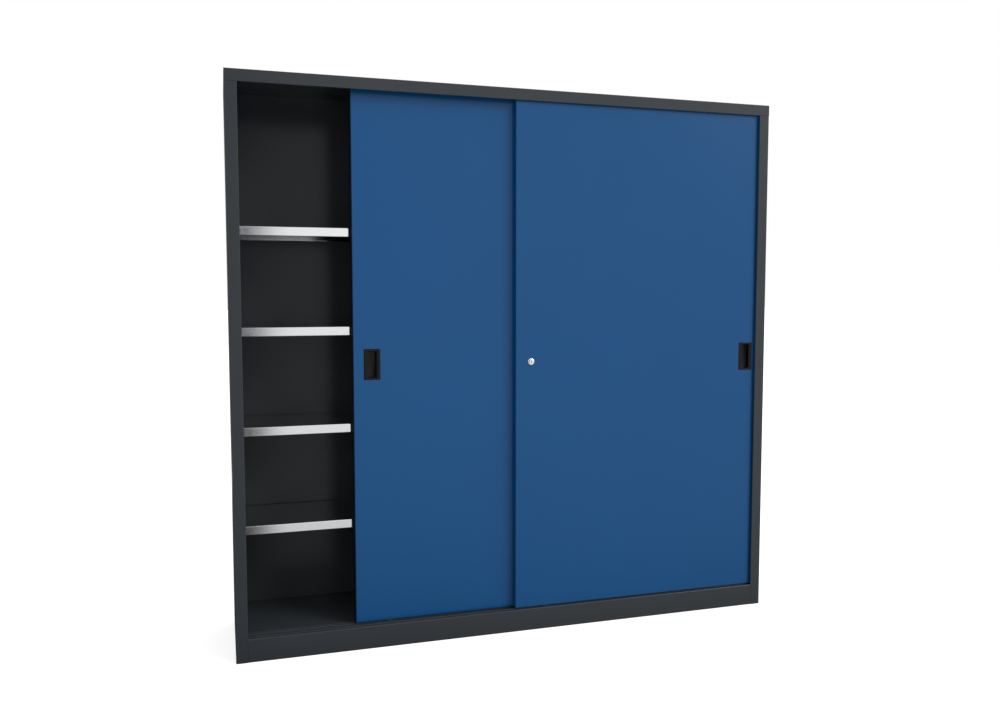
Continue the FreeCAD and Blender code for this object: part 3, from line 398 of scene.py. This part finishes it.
def paint(names, slot):
    """Give CAD nodes, or pieces by name, the material of a slot."""
    for name in names:
        materials = bpy.data.objects[name].data.materials
        materials.clear()
        materials.append(finish_of(slot))


def paint_wheels():
    """The wheels are moulded in a harder, greyer plastic than the pulls."""
    for name in NODES:
        if "_wheel_" in name:
            NODES[name].data.materials[0] = bpy.data.materials[WHEEL_FINISH]


def slot_nodes(slot):
    """Names of the CAD nodes in a slot."""
    return [part["node"] for part in frame["record"]["subparts"] if part["material_slot"] == slot]


# -------------------------------------------------------------- mesh helpers

def skin(mesh, loops, closed=False):
    """Faces between loops of equally many points; capped at both ends unless closed on itself."""
    rings = [[mesh.verts.new(point) for point in loop] for loop in loops]
    pairs = list(zip(rings, rings[1:]))
    if closed:
        pairs.append((rings[-1], rings[0]))
    else:
        mesh.faces.new(rings[0][::-1])
        mesh.faces.new(rings[-1])
    count = len(rings[0])
    for near, far in pairs:
        for step in range(count):
            after = (step + 1) % count
            mesh.faces.new((near[step], near[after], far[after], far[step]))


def circle(middle, radius, y, count=64):
    """Points round a circle that faces along Y; middle is the circle's place, y is measured from it."""
    turns = [2 * math.pi * step / count for step in range(count)]
    return [middle + Vector((radius * math.cos(turn), y, radius * math.sin(turn))) for turn in turns]


def rounded_rectangle(middle, half_width, half_height, corner, y, steps=8):
    """Points round a rectangle with round corners that faces along Y."""
    points = []
    quarters = ((1, 1, 0), (-1, 1, 90), (-1, -1, 180), (1, -1, 270))
    for side, end, start in quarters:
        for step in range(steps + 1):
            turn = math.radians(start + 90 * step / steps)
            across = side * (half_width - corner) + corner * math.cos(turn)
            up = end * (half_height - corner) + corner * math.sin(turn)
            points.append(middle + Vector((across, y, up)))
    return points


def stadium(middle, half_width, half_height, y, count=64):
    """Points round an upright slot with round ends, in step with those of a circle."""
    points = []
    straight = half_height - half_width
    for step in range(count):
        turn = 2 * math.pi * step / count
        across, up = half_width * math.cos(turn), half_width * math.sin(turn)
        lift = straight * max(-1.0, min(1.0, 2.5 * math.sin(turn)))
        points.append(middle + Vector((across, y, up + lift)))
    return points


def finished(name, mesh, body, slot, replaces=(), sharp=35):
    """Make the mesh a piece of the cabinet: smooth but for its sharp edges, on its body."""
    bmesh.ops.remove_doubles(mesh, verts=mesh.verts, dist=1e-7)
    bmesh.ops.recalc_face_normals(mesh, faces=mesh.faces)
    data = bpy.data.meshes.new(name)
    mesh.to_mesh(data)
    mesh.free()
    data.shade_smooth()
    data.set_sharp_from_angle(angle=math.radians(sharp))
    data.materials.append(finish_of(slot))
    piece = bpy.data.objects.new(name, data)
    bpy.context.collection.objects.link(piece)
    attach(piece, body)
    if replaces:
        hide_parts(*replaces)
    return piece


def middle_of(node):
    """Middle of a CAD node's box."""
    low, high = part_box(node)
    return (low + high) / 2


def solid_boxes(node):
    """Lowest and highest corner of each solid of a CAD node that holds several."""
    copy = bmesh.new()
    copy.from_mesh(NODES[node].data)
    bmesh.ops.remove_doubles(copy, verts=copy.verts, dist=1e-6)
    boxes, seen = [], set()
    for start in copy.verts:
        if start in seen:
            continue
        heap, island = [start], []
        seen.add(start)
        while heap:
            vertex = heap.pop()
            island.append(vertex.co.copy())
            for edge in vertex.link_edges:
                other = edge.other_vert(vertex)
                if other not in seen:
                    seen.add(other)
                    heap.append(other)
        boxes.append((Vector(map(min, *island)), Vector(map(max, *island))))
    copy.free()
    return boxes


# -------------------------------------------------------------------- pieces

# Turned pieces of the lock, in millimetres: how much slimmer than the barrel's shoulder
# its head and its bolt are, and the play round each.
HEAD_STEP, BOLT_STEP, LOCK_PLAY = 1, 3, 0.1


def build_pull(door):
    """Moulded cup: a flat rim with eased edges round a drafted hollow for the fingertips."""
    low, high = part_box(f"{door}_pull")
    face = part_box(f"{door}_panel")[0].y
    middle = Vector(((low.x + high.x) / 2, face, (low.z + high.z) / 2))
    half_width, half_height = (high.x - low.x) / 2, (high.z - low.z) / 2
    proud, back = low.y - face, high.y - face
    side, end = 13.5 * MM, 7.5 * MM
    pocket_width, pocket_height = half_width - side, half_height - end
    wall, draft, floor = 2 * MM, 1 * MM, back - 2 * MM

    def loop(width, height, corner, y):
        return rounded_rectangle(middle, width, height, corner, y)

    def rim(inset, y):
        return loop(half_width - inset, half_height - inset, 3 * MM - inset / 2, y)

    def hollow(inset, y):
        return loop(pocket_width - inset, pocket_height - inset, 3 * MM - inset / 2, y)

    cup_width, cup_height = pocket_width + wall, pocket_height + wall
    loops = [
        loop(cup_width - 1 * MM, cup_height - 1 * MM, 3 * MM, back),
        loop(cup_width, cup_height, 3.5 * MM, back - 1 * MM),
        loop(cup_width, cup_height, 3.5 * MM, 0),
        rim(0, 0), rim(0, proud + 0.7 * MM), rim(0.12 * MM, proud + 0.3 * MM),
        rim(0.4 * MM, proud + 0.06 * MM), rim(0.8 * MM, proud),
        hollow(-0.7 * MM, proud), hollow(-0.3 * MM, proud + 0.1 * MM), hollow(0, proud + 0.6 * MM),
        hollow(draft, floor - 2 * MM), hollow(draft + 0.6 * MM, floor - 0.6 * MM),
        hollow(draft + 2 * MM, floor),
    ]
    mesh = bmesh.new()
    skin(mesh, loops)
    return finished(f"{door}_cup_pull", mesh, door, "black_plastic", [f"{door}_pull"])


def lock_middle():
    """Where the lock's axis meets the door's face."""
    middle = middle_of("lock_housing")
    middle.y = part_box("front_door_panel")[0].y
    return middle


def measured(node):
    """Radius, front and end of a turned piece of the lock, in millimetres from the door's face."""
    low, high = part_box(node)
    face = lock_middle().y
    return (high.x - low.x) / 2 / MM, (low.y - face) / MM, (high.y - face) / MM


def turned(profile):
    """Circles round the lock's axis, for pairs of radius and depth in millimetres."""
    middle = lock_middle()
    return [circle(middle, radius * MM, y * MM) for radius, y in profile]


def build_collar():
    """Bright collar with a rounded rim, and the sleeve behind it that holds the barrel."""
    collar, front, end = measured("lock_housing")
    shoulder = measured("lock_barrel")[0]
    head, bolt, sleeve = shoulder - HEAD_STEP, shoulder - BOLT_STEP, collar - 1.5
    rear_wall = 2.5
    mesh = bmesh.new()
    skin(mesh, turned([
        (sleeve, 0), (collar, 0), (collar, front + 1.2), (collar - 0.2, front + 0.6),
        (collar - 0.7, front + 0.2), (collar - 1.4, front), (head + 0.6, front),
        (head + 0.3, front + 0.1), (head + LOCK_PLAY, front + 0.4), (head + LOCK_PLAY, 0),
        (shoulder + LOCK_PLAY, 0), (shoulder + LOCK_PLAY, end - rear_wall),
        (bolt + LOCK_PLAY, end - rear_wall), (bolt + LOCK_PLAY, end), (sleeve, end)]),
        closed=True)
    finished("lock_collar", mesh, "front_door", "lock_chrome", ["lock_housing"])


def build_barrel():
    """Push barrel: a head with an eased edge, a shoulder that keeps it in, and the bolt."""
    shoulder, front, end = measured("lock_barrel")
    plug, _, plug_end = measured("lock_key_plug")
    head, bolt = shoulder - HEAD_STEP, shoulder - BOLT_STEP
    seat, shoulder_end = 0.3, 5.3
    mesh = bmesh.new()
    skin(mesh, turned([
        (plug + LOCK_PLAY, plug_end + 0.3), (plug + LOCK_PLAY, front + 0.2), (plug + 0.25, front),
        (head - 0.5, front), (head - 0.2, front + 0.08), (head - 0.06, front + 0.22),
        (head, front + 0.5), (head, seat), (shoulder, seat), (shoulder, shoulder_end),
        (bolt, shoulder_end), (bolt, end - 0.5), (bolt - 0.5, end)]))
    finished("lock_push_barrel", mesh, "lock_barrel", "lock_chrome", ["lock_barrel"])


def build_plug():
    """Key plug with an upright keyhole; the keyhole's inside has a near-black finish of its own, painted
    shade of its depth.
    """
    middle = lock_middle()
    plug, front, end = measured("lock_key_plug")
    half_width, half_height, depth, easing = 1.2 * MM, 4 * MM, 8, 0.2
    keyhole = [stadium(middle, half_width, half_height, y * MM) for y in (front + depth, front + easing)]
    mouth = easing * MM
    keyhole.append(stadium(middle, half_width + mouth, half_height + mouth, front * MM))
    mesh = bmesh.new()
    skin(mesh, keyhole + turned([
        (plug - easing, front), (plug, front + easing), (plug, end - easing), (plug - easing, end)]))
    piece = finished("lock_plug_with_keyhole", mesh, "lock_key_plug", "lock_chrome", ["lock_key_plug"])
    # The second slot paints the keyhole's inside near black: painted shade.
    piece.data.materials.append(bpy.data.materials[KEYHOLE_SHADE_FINISH])
    for face in piece.data.polygons:
        arm = face.center - middle
        inside = math.hypot(arm.x, arm.z) < (plug - 1) * MM and arm.y > (front + 0.05) * MM
        face.material_index = int(inside and arm.y < (front + depth + 0.5) * MM)


def build_return_spring():
    """Wire spring behind the barrel's shoulder; it shortens as the barrel is pushed in."""
    low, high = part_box("lock_spring")
    middle = (low + high) / 2
    wire, turns, steps, sides = 0.6 * MM, 3, 96, 12
    radius, length = (high.x - low.x) / 2 - wire, high.y - low.y - 2 * wire
    along = Vector((0, 1, 0))
    angles = [2 * math.pi * side / sides for side in range(sides)]
    loops = []
    for step in range(steps + 1):
        turn = 2 * math.pi * turns * step / steps
        outward = Vector((math.cos(turn), 0, math.sin(turn)))
        centre = Vector((middle.x, low.y + wire + length * step / steps, middle.z)) + radius * outward
        loops.append([
            centre + wire * (math.cos(angle) * outward + math.sin(angle) * along) for angle in angles])
    mesh = bmesh.new()
    skin(mesh, loops)
    piece = finished("lock_return_spring", mesh, "front_door", "zinc_steel", ["lock_spring"])
    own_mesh(piece)


def source_object(name, mesh):
    """An object of which the node tree places copies."""
    data = bpy.data.meshes.new(name)
    bmesh.ops.recalc_face_normals(mesh, faces=mesh.faces)
    mesh.to_mesh(data)
    mesh.free()
    return bpy.data.objects.new(name, data)


def screw_source(name, radius, head, reach):
    """One pan-head screw along Z, its head's flat side at the origin, with a cross recess."""
    depth, shank = 0.55 * head, 0.57 * radius
    turns = [2 * math.pi * step / 24 for step in range(24)]

    def outline(size_at, z):
        return [Vector((size_at(turn) * math.cos(turn), size_at(turn) * math.sin(turn), z)) for turn in turns]

    def ring(size, z):
        return outline(lambda turn: size, z)

    def cross(size, z):
        return outline(lambda turn: size * (0.34 + 0.66 * abs(math.cos(2 * turn)) ** 3), z)

    mesh = bmesh.new()
    skin(mesh, [
        cross(0.22 * radius, head - depth), cross(0.55 * radius, head), ring(0.7 * radius, 0.98 * head),
        ring(0.9 * radius, 0.8 * head), ring(radius, 0.45 * head), ring(radius, 0),
        ring(shank, 0), ring(shank, -reach)])
    return source_object(name, mesh)


def nut_source(name, radius, height):
    """One hexagon nut along Z, its seat at the origin, its corners chamfered at both ends."""
    turns = [2 * math.pi * step / 36 for step in range(36)]
    bore, chamfer, edge = 0.6 * radius, 0.94 * radius, 0.07 * height
    apothem = radius * math.cos(math.pi / 6)

    def outline(limit, z):
        points = []
        for turn in turns:
            off_flat = (turn + math.pi / 6) % (math.pi / 3) - math.pi / 6
            size = min(limit, apothem / math.cos(off_flat))
            points.append(Vector((size * math.cos(turn), size * math.sin(turn), z)))
        return points

    mesh = bmesh.new()
    skin(mesh, [
        outline(bore, edge), outline(bore + edge, 0), outline(chamfer, 0), outline(radius, 2 * edge),
        outline(radius, height - 2 * edge), outline(chamfer, height),
        outline(bore + edge, height), outline(bore, height - edge)], closed=True)
    return source_object(name, mesh)


def scatter_tree():
    """Geometry nodes: a fastener at each point, tilted alike, each spun by chance on its axis."""
    tree = bpy.data.node_groups.new("Placed fasteners", "GeometryNodeTree")
    tree.is_modifier = True
    new_socket = tree.interface.new_socket
    new_socket(name="Points", in_out="INPUT", socket_type="NodeSocketGeometry")
    new_socket(name="Fastener", in_out="INPUT", socket_type="NodeSocketObject")
    new_socket(name="Tilt", in_out="INPUT", socket_type="NodeSocketVector")
    new_socket(name="Seed", in_out="INPUT", socket_type="NodeSocketInt")
    new_socket(name="Finish", in_out="INPUT", socket_type="NodeSocketMaterial")
    new_socket(name="Fasteners", in_out="OUTPUT", socket_type="NodeSocketGeometry")
    given, result = tree.nodes.new("NodeGroupInput"), tree.nodes.new("NodeGroupOutput")
    source = add_node(tree, "GeometryNodeObjectInfo", {"Object": given.outputs["Fastener"]})
    least, most = 2, 3  # the sockets that bound a random number
    spread = {"Seed": given.outputs["Seed"], least: 0.0, most: 1.5}
    turn = add_node(tree, "FunctionNodeRandomValue", spread, data_type="FLOAT")
    spin = add_node(tree, "ShaderNodeCombineXYZ", {"Z": turn.outputs[1]})
    tilt = add_node(tree, "FunctionNodeEulerToRotation", {"Euler": given.outputs["Tilt"]})
    own = add_node(tree, "FunctionNodeEulerToRotation", {"Euler": spin.outputs[0]})
    both = add_node(tree, "FunctionNodeRotateRotation",
                    {"Rotation": tilt.outputs[0], "Rotate By": own.outputs[0]}, rotation_space="LOCAL")
    placed = add_node(tree, "GeometryNodeInstanceOnPoints", {
        "Points": given.outputs["Points"], "Instance": source.outputs["Geometry"],
        "Rotation": both.outputs[0]})
    instances = {"Geometry": placed.outputs["Instances"]}
    real = add_node(tree, "GeometryNodeRealizeInstances", instances)
    painted = add_node(tree, "GeometryNodeSetMaterial", {
        "Geometry": real.outputs["Geometry"], "Material": given.outputs["Finish"]})
    tree.links.new(painted.outputs["Geometry"], result.inputs["Fasteners"])
    return tree


def socket_id(tree, name):
    """What a modifier calls an input of its tree."""
    return next(item.identifier for item in tree.interface.items_tree if item.name == name)


def place_fasteners(name, body, node, source, places, tilt, seed):
    """Fasteners of one kind on one body, made by the node tree and turned into a plain mesh."""
    bpy.context.collection.objects.link(source)
    tree = bpy.data.node_groups.get("Placed fasteners") or scatter_tree()
    data = bpy.data.meshes.new(f"{name}_points")
    data.from_pydata([tuple(place) for place in places], [], [])
    holder = bpy.data.objects.new(f"{name}_points", data)
    bpy.context.collection.objects.link(holder)
    modifier = holder.modifiers.new("Fasteners", "NODES")
    modifier.node_group = tree
    modifier[socket_id(tree, "Fastener")] = source
    modifier[socket_id(tree, "Tilt")] = tilt
    modifier[socket_id(tree, "Seed")] = seed
    modifier[socket_id(tree, "Finish")] = finish_of("zinc_steel")
    graph = bpy.context.evaluated_depsgraph_get()
    made = bpy.data.meshes.new_from_object(holder.evaluated_get(graph))
    bpy.data.objects.remove(holder)
    bpy.data.objects.remove(source)
    made.name = name
    made.shade_smooth()
    made.set_sharp_from_angle(angle=math.radians(40))
    piece = bpy.data.objects.new(name, made)
    bpy.context.collection.objects.link(piece)
    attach(piece, body)
    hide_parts(node)


def build_screws():
    """Screws of the roller brackets, heads up on the brackets inside each door."""
    head = 2.6 * MM
    for seed, door in enumerate(DOORS):
        node = f"{door}_bracket_screws"
        boxes = solid_boxes(node)
        low, high = boxes[0]
        source = screw_source(f"{door}_screw", (high.x - low.x) / 2, head, high.z - low.z - head)
        places = [((low.x + high.x) / 2, (low.y + high.y) / 2, high.z - head) for low, high in boxes]
        place_fasteners(f"{door}_cross_screws", door, node, source, places, (0, 0, 0), seed)


def build_joint_fasteners():
    """Bolts through the two back panels' meeting flanges, and their nuts on the other side."""
    bolts, nuts = solid_boxes("back_joint_bolts"), solid_boxes("back_joint_nuts")
    bolt_low, bolt_high = bolts[0]
    nut_low, nut_high = nuts[0]
    height, radius = nut_high.x - nut_low.x, (nut_high.z - nut_low.z) / 2
    reach = bolt_high.x - bolt_low.x - height
    quarter = math.pi / 2
    bolt, nut = screw_source("back_bolt", radius, height, reach), nut_source("back_nut", radius, height)
    kinds = (
        ("back_bolts", "back_joint_bolts", bolt, bolts, bolt_low.x + height, -quarter),
        ("back_nuts", "back_joint_nuts", nut, nuts, nut_low.x, quarter))
    for seed, (name, node, source, boxes, seat, turn) in enumerate(kinds):
        places = [(seat, (low.y + high.y) / 2, (low.z + high.z) / 2) for low, high in boxes]
        place_fasteners(name, "root", node, source, places, (0, turn, 0), seed)


# --------------------------------------------------------------------- stage

SENSOR_WIDTH = 36  # millimetres
# Sines of the bearings, to the right of the cabinet's front, between which the dark part ends:
# on its right side, there at the cabinet's foot, where it fades more slowly as painted shade on the floor,
# and on its left.
DARK_SIDE_RIGHT = (0.020, 0.066)
DARK_FOOT_RIGHT = (0.020, 0.45)
DARK_SIDE_LEFT = (-0.35, -0.5)
# The dark part of the floor, a painted reflection, fans out from here, behind the cabinet.
DARK_FLOOR_APEX = (-1.02, 2.98, 0)
# Painted shade of the cabinet on the floor: how far from the cabinet the floor is half way from its dimmest
# to its brightest, in the light that it throws back and in reflections.
HALF_DIM, HALF_DIM_MIRRORED = 0.25, 0.8
# The floor: half its width, the share of light it throws back, and what is added to that
# where the eye meets it, so that it is white beyond the cabinet's shadow.
FLOOR_HALF_WIDTH, FLOOR_ALBEDO, FLOOR_LIFT = 60, 0.7, 0.62


def studio_reflection(tree, direction, dark, right):
    """What is reflected of the studio: white, but for a dark part, which ends softly at its right."""
    level = add_node(tree, "ShaderNodeVectorMath", {0: direction, 1: (1, 1, 0)}, operation="MULTIPLY")
    round_about = add_node(tree, "ShaderNodeVectorMath", {0: level.outputs[0]}, operation="NORMALIZE")
    across = add_node(tree, "ShaderNodeSeparateXYZ", {"Vector": round_about.outputs[0]}).outputs["X"]
    sides = []
    for start, end in (right, DARK_SIDE_LEFT):
        edge = add_node(tree, "ShaderNodeMapRange", {"Value": across, "From Min": start, "From Max": end},
                        interpolation_type="SMOOTHSTEP")
        sides.append(edge.outputs["Result"])
    return remap(tree, calculate(tree, "MAXIMUM", *sides), dark, 1.0)


def build_world(stage):
    """White where the eye looks straight or through something, the studio in reflections."""
    world = bpy.data.worlds.new("Studio")
    bpy.context.scene.world = world
    world.use_nodes = True
    tree = world.node_tree
    path = add_node(tree, "ShaderNodeLightPath").outputs
    seen = calculate(tree, "MAXIMUM", path["Is Camera Ray"], path["Is Transmission Ray"])
    direction = add_node(tree, "ShaderNodeTexCoord").outputs["Generated"]
    mirrored = studio_reflection(tree, direction, stage.dark_side, DARK_SIDE_RIGHT)
    unseen = add_node(tree, "ShaderNodeMix", {"Factor": path["Is Glossy Ray"], "A": stage.sky_strength,
                                              "B": mirrored}).outputs["Result"]
    strength = add_node(tree, "ShaderNodeMix", {"Factor": seen, "A": unseen, "B": 1.0}).outputs["Result"]
    sky = tree.nodes["Background"]
    sky.inputs["Color"].default_value = (1, 1, 1, 1)
    tree.links.new(strength, sky.inputs["Strength"])


def dimmed_floor(tree, place, half):
    """Painted shade of the cabinet on the floor: 0 at the cabinet, a half at the distance half, 1 far off."""
    parts = add_node(tree, "ShaderNodeSeparateXYZ", {"Vector": place}).outputs
    off = 0.0
    for axis in (0, 1):
        beside = calculate(tree, "ABSOLUTE", parts[axis], 0.0)
        off = calculate(tree, "MAXIMUM", calculate(tree, "SUBTRACT", beside, CAD_BOX[1][axis]), off)
    return calculate(tree, "DIVIDE", off, calculate(tree, "ADD", off, half))


def build_floor(stage):
    """Pale floor: it takes the cabinet's shadow, and is white beyond it. In reflections it is a painted
    emission, darker on the unlit side and near the cabinet's foot.
    """
    mesh = bmesh.new()
    bmesh.ops.create_grid(mesh, x_segments=1, y_segments=1, size=FLOOR_HALF_WIDTH)
    data = bpy.data.meshes.new("studio_floor")
    mesh.to_mesh(data)
    mesh.free()
    floor = bpy.data.objects.new("studio_floor", data)
    bpy.context.collection.objects.link(floor)
    material, tree, shader = new_material("studio_floor")
    shader.inputs["Roughness"].default_value = 1.0
    shader.inputs["Specular IOR Level"].default_value = 0.0
    path = add_node(tree, "ShaderNodeLightPath").outputs
    eye = calculate(tree, "MULTIPLY", path["Is Camera Ray"], FLOOR_LIFT)
    lift = add_node(tree, "ShaderNodeEmission", {"Strength": eye})
    both = add_node(tree, "ShaderNodeAddShader", {0: shader.outputs[0], 1: lift.outputs[0]})
    place = add_node(tree, "ShaderNodeTexCoord").outputs["Object"]
    direction = add_node(tree, "ShaderNodeVectorMath", {0: place, 1: DARK_FLOOR_APEX}, operation="SUBTRACT")
    far_side = studio_reflection(tree, direction.outputs[0], stage.dark_side, DARK_SIDE_RIGHT)
    near_side = studio_reflection(tree, direction.outputs[0], stage.dark_side, DARK_FOOT_RIGHT)
    # Painted shade: the floor's albedo, for all but the eye's rays, is darker near the cabinet.
    dimmed = dimmed_floor(tree, place, HALF_DIM)
    undimmed = calculate(tree, "MAXIMUM", path["Is Camera Ray"], dimmed)
    albedo = calculate(tree, "MULTIPLY", undimmed, FLOOR_ALBEDO)
    tree.links.new(albedo, shader.inputs["Base Color"])
    # Painted reflection: glossy rays see the floor as an emission, dark on the unlit side and, as painted
    # shade, near the cabinet's foot.
    side = calculate(tree, "MULTIPLY", far_side, remap(tree, dimmed, near_side, 1.0))
    clear = remap(tree, dimmed_floor(tree, place, HALF_DIM_MIRRORED), stage.near_floor, stage.far_floor)
    level = calculate(tree, "MULTIPLY", side, clear)
    mirrored = add_node(tree, "ShaderNodeEmission", {"Strength": level})
    shown = add_node(tree, "ShaderNodeMixShader", {
        0: path["Is Glossy Ray"], 1: both.outputs[0], 2: mirrored.outputs[0]})
    tree.links.new(shown.outputs[0], tree.nodes["Material Output"].inputs["Surface"])
    data.materials.append(material)


def build_camera(stage):
    """The camera, level but for its dip."""
    data = bpy.data.cameras.new("Camera")
    data.sensor_width = SENSOR_WIDTH
    data.lens = stage.lens
    camera = bpy.data.objects.new("Camera", data)
    bpy.context.collection.objects.link(camera)
    camera.location = stage.eye
    camera.rotation_euler = Euler((math.pi / 2 - stage.dip, 0, -stage.yaw))
    bpy.context.scene.camera = camera


def build_key(stage):
    """A broad soft light from the right, so far off that it lights the whole front evenly."""
    data = bpy.data.lights.new("key_light", "SUN")
    data.energy = stage.key_strength
    data.angle = stage.key_breadth
    lamp = bpy.data.objects.new("key_light", data)
    bpy.context.collection.objects.link(lamp)
    towards = Vector((math.sin(stage.key_bearing), -math.cos(stage.key_bearing), 0))
    towards = towards * math.cos(stage.key_height) + Vector((0, 0, math.sin(stage.key_height)))
    lamp.rotation_euler = (-towards).to_track_quat("-Z", "Y").to_euler()


# ----------------------------------------------------------------- operators

class CABINET_OT_finishes(bpy.types.Operator):
    """Make the finishes and put them on the sheet metal and every other plain CAD piece"""
    bl_idname = "cabinet.finishes"
    bl_label = "Finishes"

    def execute(self, context):
        make_materials()
        for entry in frame["record"]["materials"]:
            paint(slot_nodes(entry["slot"]), entry["slot"])
        paint_wheels()
        return {"FINISHED"}


class CABINET_OT_flush_pulls(bpy.types.Operator):
    """Model the moulded cup pull of each door"""
    bl_idname = "cabinet.flush_pulls"
    bl_label = "Flush pulls"

    def execute(self, context):
        for door in DOORS:
            build_pull(door)
        return {"FINISHED"}


class CABINET_OT_lock(bpy.types.Operator):
    """Turn the lock's collar, push barrel and key plug, and wind its return spring"""
    bl_idname = "cabinet.lock"
    bl_label = "Lock"

    def execute(self, context):
        build_collar()
        build_barrel()
        build_plug()
        build_return_spring()
        return {"FINISHED"}


class CABINET_OT_fasteners(bpy.types.Operator):
    """Place the screws of the roller brackets and the bolts and nuts of the back"""
    bl_idname = "cabinet.fasteners"
    bl_label = "Fasteners"

    def execute(self, context):
        build_screws()
        build_joint_fasteners()
        return {"FINISHED"}


class CABINET_OT_stage(bpy.types.Operator):
    """Set up the camera, the pale floor, the key light and the sky"""
    bl_idname = "cabinet.stage"
    bl_label = "Stage"

    def execute(self, context):
        stage = context.scene.cabinet_stage
        context.scene.view_settings.view_transform = "Standard"
        build_camera(stage)
        build_world(stage)
        build_floor(stage)
        build_key(stage)
        return {"FINISHED"}


class CABINET_PT_build(bpy.types.Panel):
    """Lists what builds the cabinet, in order"""
    bl_label = "Sliding Door Cabinet"
    bl_idname = "CABINET_PT_build"
    bl_space_type = "VIEW_3D"
    bl_region_type = "UI"
    bl_category = "Cabinet"

    def draw(self, context):
        column = self.layout.column()
        for operator in OPERATORS:
            column.operator(operator.bl_idname)
        for settings in (context.scene.cabinet_finish, context.scene.cabinet_stage):
            for name in settings.bl_rna.properties.keys():
                if name not in ("rna_type", "name"):
                    column.prop(settings, name)


OPERATORS = (
    CABINET_OT_finishes, CABINET_OT_flush_pulls, CABINET_OT_lock, CABINET_OT_fasteners, CABINET_OT_stage)
CLASSES = (CabinetFinish, CabinetStage, *OPERATORS, CABINET_PT_build)


def register():
    for item in CLASSES:
        bpy.utils.register_class(item)
    bpy.types.Scene.cabinet_finish = PointerProperty(type=CabinetFinish)
    bpy.types.Scene.cabinet_stage = PointerProperty(type=CabinetStage)


def unregister():
    del bpy.types.Scene.cabinet_stage
    del bpy.types.Scene.cabinet_finish
    for item in reversed(CLASSES):
        bpy.utils.unregister_class(item)


def main():
    """Build the cabinet's finishes and pieces and the stage."""
    register()
    bpy.ops.cabinet.finishes()
    bpy.ops.cabinet.flush_pulls()
    bpy.ops.cabinet.lock()
    bpy.ops.cabinet.fasteners()
    bpy.ops.cabinet.stage()


if __name__ == "__main__":
    main()
